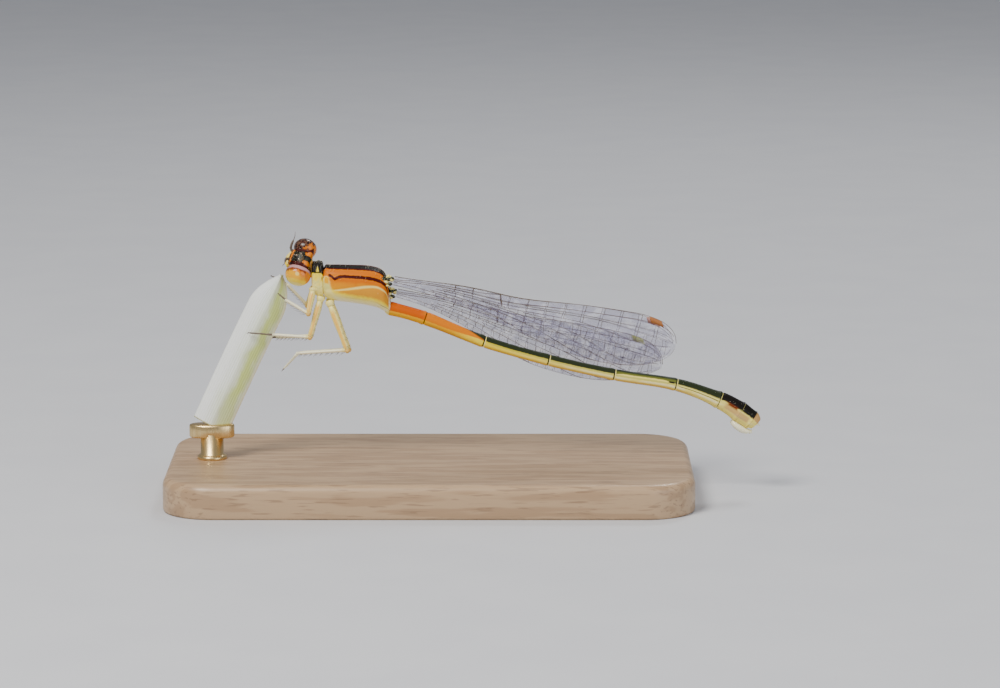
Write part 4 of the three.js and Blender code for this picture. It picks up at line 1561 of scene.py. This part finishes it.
@dataclass
class WingBases:
    """Small pale plates and dark soft folds where the wings leave the thorax."""

    plate: Colour = (0.15, 0.13, 0.085)
    plates: tuple = (
        (-0.34, 0.24, 1.0, 0), (-0.46, -0.06, 1.15, 0), (-0.30, 0.09, 1.0, 1), (-0.12, 0.02, 0.8, 0),
        (-0.24, -0.20, 1.0, 1), (-0.60, 0.10, 1.2, 1), (-0.50, 0.22, 0.9, 1), (-0.36, -0.30, 0.8, 0),
        (-0.08, 0.16, 0.7, 1), (-0.20, 0.24, 0.55, 0), (-0.62, -0.14, 1.2, 1),
    )

    def build(self, wings: Sequence[Wing]) -> bpy.types.Object:
        """Build the hinge plates of all four wings as one piece.

        Args:
            wings: Give the places of the roots.

        Returns:
            The finished piece.
        """
        draft = Draft()
        rng = random.Random("hinges")
        for wing in wings:
            root = Vector(wing.root)
            side = math.copysign(1.0, wing.root[1])
            for ahead, rise, size, slot in self.plates:
                spot = root + Vector((ahead, -0.12 * side, rise + rng.uniform(-0.02, 0.02)))
                slant = Matrix.Rotation(rng.uniform(-0.5, 0.5), 3, "Y")
                draft.ball(spot, tuple(number * size for number in self.plate), slant, 16, 10, slot)
        finishes = [
            PlainCuticle("hinge_plate", Wax.CREAM, Wax.OLIVE).make(),
            PlainCuticle("hinge_fold", Wax.OLIVE, Wax.SMOKE).make(),
        ]
        return settle(draft.build("wing_hinges", finishes), "orange_cuticle")


@dataclass
class Hairs:
    """Fine pale hairs on the back, collar, head and tail.

    Their map holds the thorax at its left, then the collar, the head and the tail.
    """

    back_count: int = 90
    collar_count: int = 30
    crown_count: int = 26
    face_count: int = 46
    tail_count: int = 110
    length: tuple[float, float] = (0.16, 0.34)
    radius: float = 0.006

    def build(self, thorax: Thorax, head: Head, abdomen: Abdomen) -> bpy.types.Object:
        """Build all the hairs as one piece.

        Args:
            thorax: Gives the back and collar surfaces.
            head: Gives the crown's place.
            abdomen: Gives the tail's surface.

        Returns:
            The finished piece.
        """
        draft = Draft()
        rng = random.Random("hairs")
        for _ in range(self.back_count):
            self.plant(draft, rng, thorax.stations, rng.uniform(0.16, 0.8), rng.gauss(0.0, 0.75), thorax, 0.0)
        for _ in range(self.collar_count):
            self.plant(draft, rng, thorax.collar, rng.uniform(0.15, 0.85), rng.gauss(0.0, 0.9), thorax, 0.25)
        turn, centre = head.turn(), Vector(head.centre)
        for _ in range(self.crown_count):
            x, y = rng.uniform(-0.5, 0.5), rng.uniform(-0.4, 0.45)
            root = centre + turn @ Vector((x, y, 0.52 - 0.25 * (x * x + y * y)))
            lean = turn @ Vector((x * 0.6, y * 0.6 + 0.3, 1.0))
            draft.hair(root, lean, rng.uniform(0.10, 0.24), self.radius, 0, (0.60 + x * 0.2, 0.25 + y * 0.2))
        for _ in range(self.face_count):
            x, z = rng.uniform(-0.38, 0.38), rng.uniform(-0.66, -0.2)
            root = centre + turn @ Vector((x, 0.78 - 0.5 * x * x, z))
            lean = turn @ Vector((x, 1.0, -0.4))
            draft.hair(root, lean, rng.uniform(0.10, 0.2), self.radius, 0, (0.60 + x * 0.2, 0.6 + z * 0.2))
        for _ in range(self.tail_count):
            segment, share = rng.randrange(6, 10), rng.random()
            angle = rng.uniform(0, 2 * math.pi)
            out = Vector((0.2, math.sin(angle), math.cos(angle)))
            root = abdomen.centre(segment, share) + out * abdomen.radius(segment, share) * 0.95
            patch = (0.78 + (segment - 6 + share) * 0.05, angle / 7)
            draft.hair(root, out + Vector((0.8, 0, -0.3)), rng.uniform(0.06, 0.13), 0.005, 0, patch)
        made = draft.build("body_hairs", [PlainCuticle("pale_hair", Wax.PALE, Wax.CREAM, 0.5).make()])
        chart = made.data.uv_layers.new(name=HAIR_MAP)
        for loop in made.data.loops:
            chart.data[loop.index].uv = draft.places[loop.vertex_index].xy
        return settle(made, "leg")

    def plant(self, draft: Draft, rng: random.Random, stations: tuple, t: float, angle: float,
              thorax: Thorax, chart: float) -> None:
        """Add one hair on a body surface, leaning back.

        Args:
            draft: Takes the hair.
            rng: Draws its lean and length.
            stations: The body's cross sections.
            t: Share along the body.
            angle: Turn from the top.
            thorax: Gives the surface.
            chart: Where the body's part of the hairs' map starts.
        """
        root = thorax.point(stations, t, angle)
        middle = Vector((root.x, 0.0, spline(stations, t)[1]))
        out = (root - middle).normalized() + Vector((rng.uniform(-0.1, 0.35), rng.uniform(-0.15, 0.15), 0.1))
        patch = (chart + t * 0.2, 0.5 + angle / 7)
        draft.hair(root, out, rng.uniform(*self.length), self.radius, 0, patch)


@dataclass
class GrassBlade:
    """Cut tip of a folded grass blade, ribbed along its length, set in the cup of the rod."""

    line: tuple = (
        (-13.0, 4.05), (-11.75, 6.75), (-10.35, 9.7), (-9.45, 11.5), (-9.12, 12.15), (-8.85, 12.75),
        (-8.76, 13.0),
    )
    middle_y: float = 0.1
    half_width: float = 1.12
    thickness: float = 0.56
    fold: float = 0.16
    tip_from: float = 0.78
    columns: int = 40
    rows: int = 110

    def ring(self, row: int, line: list[list[float]]) -> tuple[Ring, Ring]:
        """Return one cross section of the blade with its places.

        Args:
            row: Which section, counted from the foot.
            line: The middle line's evenly spaced points.

        Returns:
            The points around the blade, and the places along, across and of the face.
        """
        t = row / self.rows
        ahead, behind = line[min(row + 1, self.rows)], line[max(row - 1, 0)]
        along = Vector((ahead[0] - behind[0], 0, ahead[1] - behind[1])).normalized()
        across = Vector((along.z, 0, -along.x))
        tip = max((t - self.tip_from) / (1 - self.tip_from), 0.0)
        taper = max((1 - tip ** 1.8) ** 0.8, 0.12)
        front = [(2 * c / self.columns - 1, -1) for c in range(self.columns + 1)]
        points, spots = [], []
        for column, face in front + [(c, 1) for c, _ in reversed(front)]:
            edge = 1 - 0.72 * abs(column) ** 3
            curl = self.fold * (abs(column) * 2 - 1) + 0.05 * math.sin(t * 7 + column * 2)
            rib = 0.012 * math.cos(column * 15 * math.pi)
            depth = curl + face * edge * (self.thickness * 0.5 + rib)
            middle = Vector((line[row][0], self.middle_y + depth, line[row][1]))
            points.append(middle + across * column * self.half_width * taper)
            spots.append(Vector((t, (column + 1) / 2, face)))
        return points, spots

    def build(self) -> bpy.types.Object:
        """Build the blade as one closed folded strip."""
        draft = Draft()
        line = evenly(self.line, self.rows)
        pairs = [self.ring(row, line) for row in range(self.rows + 1)]
        draft.skin([points for points, _ in pairs], [spots for _, spots in pairs], 0)
        blade = draft.build("grass_blade_folded", [LeafFinish().make()])
        return settle(blade, "grass", "perch_grass_blade")


@dataclass
class Stand:
    """Plain flat base with an eased edge, and a short brass rod with an oval cup on top."""

    length: float = 31.0
    width: float = 16.0
    height: float = 2.0
    corner: float = 3.0
    rod_x: float = -12.95
    rod_y: float = 0.1
    cup_radii: tuple[float, float] = (1.34, 0.66)
    foot_profile: tuple = ((1.98, 0.84), (2.05, 0.88), (2.16, 0.88), (2.24, 0.80), (2.28, 0.68), (3.5, 0.68))
    cup_profile: tuple = (
        (3.28, 0.12), (3.32, 0.04), (3.40, 0.0), (3.98, 0.0), (4.06, 0.04), (4.09, 0.12), (4.09, 0.3),
    )

    def outline(self, inset: float, z: float) -> tuple[Ring, Ring]:
        """Draw one level of the base, a rounded rectangle.

        Args:
            inset: How far it is drawn in.
            z: Its height.

        Returns:
            Its points and their unused places.
        """
        corner = max(self.corner - inset, 0.2)
        ring = []
        for i, (sx, sy) in enumerate(((1, 1), (-1, 1), (-1, -1), (1, -1))):
            half = (self.length / 2 - inset - corner, self.width / 2 - inset - corner)
            middle = Vector((sx * half[0], sy * half[1], z))
            for step in range(13):
                angle = math.pi / 2 * (i + step / 12)
                ring.append(middle + Vector((math.cos(angle), math.sin(angle), 0)) * corner)
        return ring, [Vector()] * len(ring)

    def base(self) -> bpy.types.Object:
        """Build the wooden base, level by level from its underside.

        Returns:
            The finished piece.
        """
        draft = Draft()
        levels = [(0.35, 0.0), (0.12, 0.0), (0.03, 0.06), (0.0, 0.16)]
        for step in range(9):
            angle = math.pi / 2 * step / 8
            levels.append((0.5 * (1 - math.cos(angle)), self.height - 0.5 + 0.5 * math.sin(angle)))
        levels += [(0.9, self.height), (4.0, self.height)]
        pairs = [self.outline(inset, z) for inset, z in levels]
        draft.skin([ring for ring, _ in pairs], [spot for _, spot in pairs])
        return settle(draft.build("stand_base_eased", [WoodFinish().make()]), "stand_wood", "stand_base")

    def rod(self) -> bpy.types.Object:
        """Build the brass rod with its collar and cup.

        Returns:
            The finished piece.
        """
        draft = Draft()
        path = [Vector((self.rod_x, self.rod_y, z)) for z, _ in self.foot_profile]
        draft.tube(path, [radius for _, radius in self.foot_profile], 40)
        turns = [2 * math.pi * step / 56 for step in range(56)]
        rings = []
        for z, inset in self.cup_profile:
            wide, narrow = (radius - inset for radius in self.cup_radii)
            rings.append([
                Vector((self.rod_x + math.cos(a) * wide, self.rod_y + math.sin(a) * narrow, z)) for a in turns
            ])
        draft.skin(rings, [[Vector()] * 56] * len(rings))
        return settle(draft.build("stand_rod_turned", [BrassFinish().make()]), "stand_rod", "stand_rod")

    def build(self) -> list[bpy.types.Object]:
        """Build the base and the rod."""
        return [self.base(), self.rod()]


@dataclass
class Studio:
    """Pale floor, soft lights and the long-lens camera."""

    target: Colour = (4.13, 0.0, 8.90)
    elevation: float = 10.0
    distance: float = 246.1
    lens: float = 150.0
    lamps: tuple = (
        ("key", (-90, -120, 190), 100, 0.56, (1.0, 0.97, 0.92)),
        ("fill", (150, -160, 70), 160, 0.16, (0.90, 0.93, 1.0)),
        ("rim", (60, 150, 190), 60, 0.14, (1.0, 1.0, 1.0)),
    )

    def floor(self) -> None:
        """Lay the pale floor under the base."""
        bpy.ops.mesh.primitive_plane_add(size=4.0, location=(0, 0, 0))
        floor = bpy.context.object
        floor.name = "studio_floor"
        floor.data.materials.append(FloorFinish().make())

    def light(self, name: str, place: Colour, size: float, power: float, tint: Colour) -> None:
        """Add one soft round light aimed at the animal.

        Args:
            name: Its name.
            place: Where it hangs.
            size: Its diameter.
            power: Its power in watts.
            tint: Its colour.
        """
        data = bpy.data.lights.new(name, "AREA")
        data.shape = "DISK"
        data.size = size * MM
        data.energy = power
        data.color = tint
        lamp = bpy.data.objects.new(name, data)
        lamp.location = Vector(place) * MM
        lamp.rotation_euler = (Vector(self.target) * MM - lamp.location).to_track_quat("-Z", "Y").to_euler()
        bpy.context.scene.collection.objects.link(lamp)

    def build(self) -> None:
        """Set the camera, the lights and the world."""
        self.floor()
        tilt = math.radians(self.elevation)
        data = bpy.data.cameras.new("camera")
        data.lens = self.lens
        data.sensor_width = 36.0
        data.clip_start = 0.01
        data.clip_end = 20.0
        camera = bpy.data.objects.new("camera", data)
        ahead = Vector((0, math.cos(tilt), -math.sin(tilt)))
        camera.location = (Vector(self.target) - ahead * self.distance) * MM
        camera.rotation_euler = ahead.to_track_quat("-Z", "Y").to_euler()
        bpy.context.scene.collection.objects.link(camera)
        bpy.context.scene.camera = camera
        for lamp in self.lamps:
            self.light(*lamp)
        world = bpy.data.worlds.new("studio")
        world.use_nodes = True
        background = world.node_tree.nodes["Background"]
        background.inputs[0].default_value = (0.86, 0.88, 0.95, 1.0)
        background.inputs[1].default_value = 0.34
        bpy.context.scene.world = world


def main() -> None:
    """Build the animal, its perch, the stand and the studio, and report each piece."""
    logging.basicConfig(level=logging.INFO, format="%(name)s: %(message)s")
    Studio().build()
    Stand().build()
    GrassBlade().build()
    head, thorax, abdomen = Head(), Thorax(), Abdomen()
    head.build()
    skin = thorax.build()
    skin.join(abdomen.build(2))
    finishes = [
        ThoraxFinish().make(), ProthoraxFinish().make(), AbdomenFinish().make(),
        PlainCuticle("valve_cuticle", Wax.PALE, Wax.TAN).make(),
    ]
    body = skin.build("body_skin", finishes)
    segments = ("s1_s2", "s3", "s4", "s5", "s6", "s7", "tip")
    settle(body, "orange_cuticle", "prothorax", "thorax", *(f"abdomen_{name}" for name in segments))
    Legs().build()
    membrane = MembraneFinish().make()
    vein = PlainCuticle("wing_vein", Wax.SMOKE, Wax.BLACK, 0.4).make()
    spots = {
        Wax.BROWN: PlainCuticle("stigma_brown", Wax.BROWN, Wax.RUST, 0.4).make(),
        Wax.GREEN: PlainCuticle("stigma_green", Wax.GREEN, Wax.OLIVE, 0.4).make(),
    }
    hind = {
        "stigma_from": 0.862, "stigma_to": 0.905,
        "trail_reach": 2.2, "trail_corner": 0.6, "trail_bow": 2.6, "trail_power": 0.85,
    }
    wings = [
        Wing("forewing_left", (-2.12, -0.72, 12.80), (14.53, 8.64), 0.62, 1.0, Wax.BROWN),
        Wing("hindwing_left", (-1.95, -0.22, 12.00), (13.75, 7.24), 1.44, 0.97, Wax.GREEN, **hind),
        Wing("hindwing_right", (-1.95, 0.36, 11.90), (13.68, 7.12), 2.14, 0.97, Wax.GREEN, **hind),
        Wing("forewing_right", (-2.12, 0.86, 12.55), (14.40, 8.24), 2.80, 1.0, Wax.BROWN),
    ]
    for wing in wings:
        wing.build(membrane, vein, spots)
    WingBases().build(wings)
    Hairs().build(thorax, head, abdomen)
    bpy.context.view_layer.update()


if __name__ == "__main__":
    main()
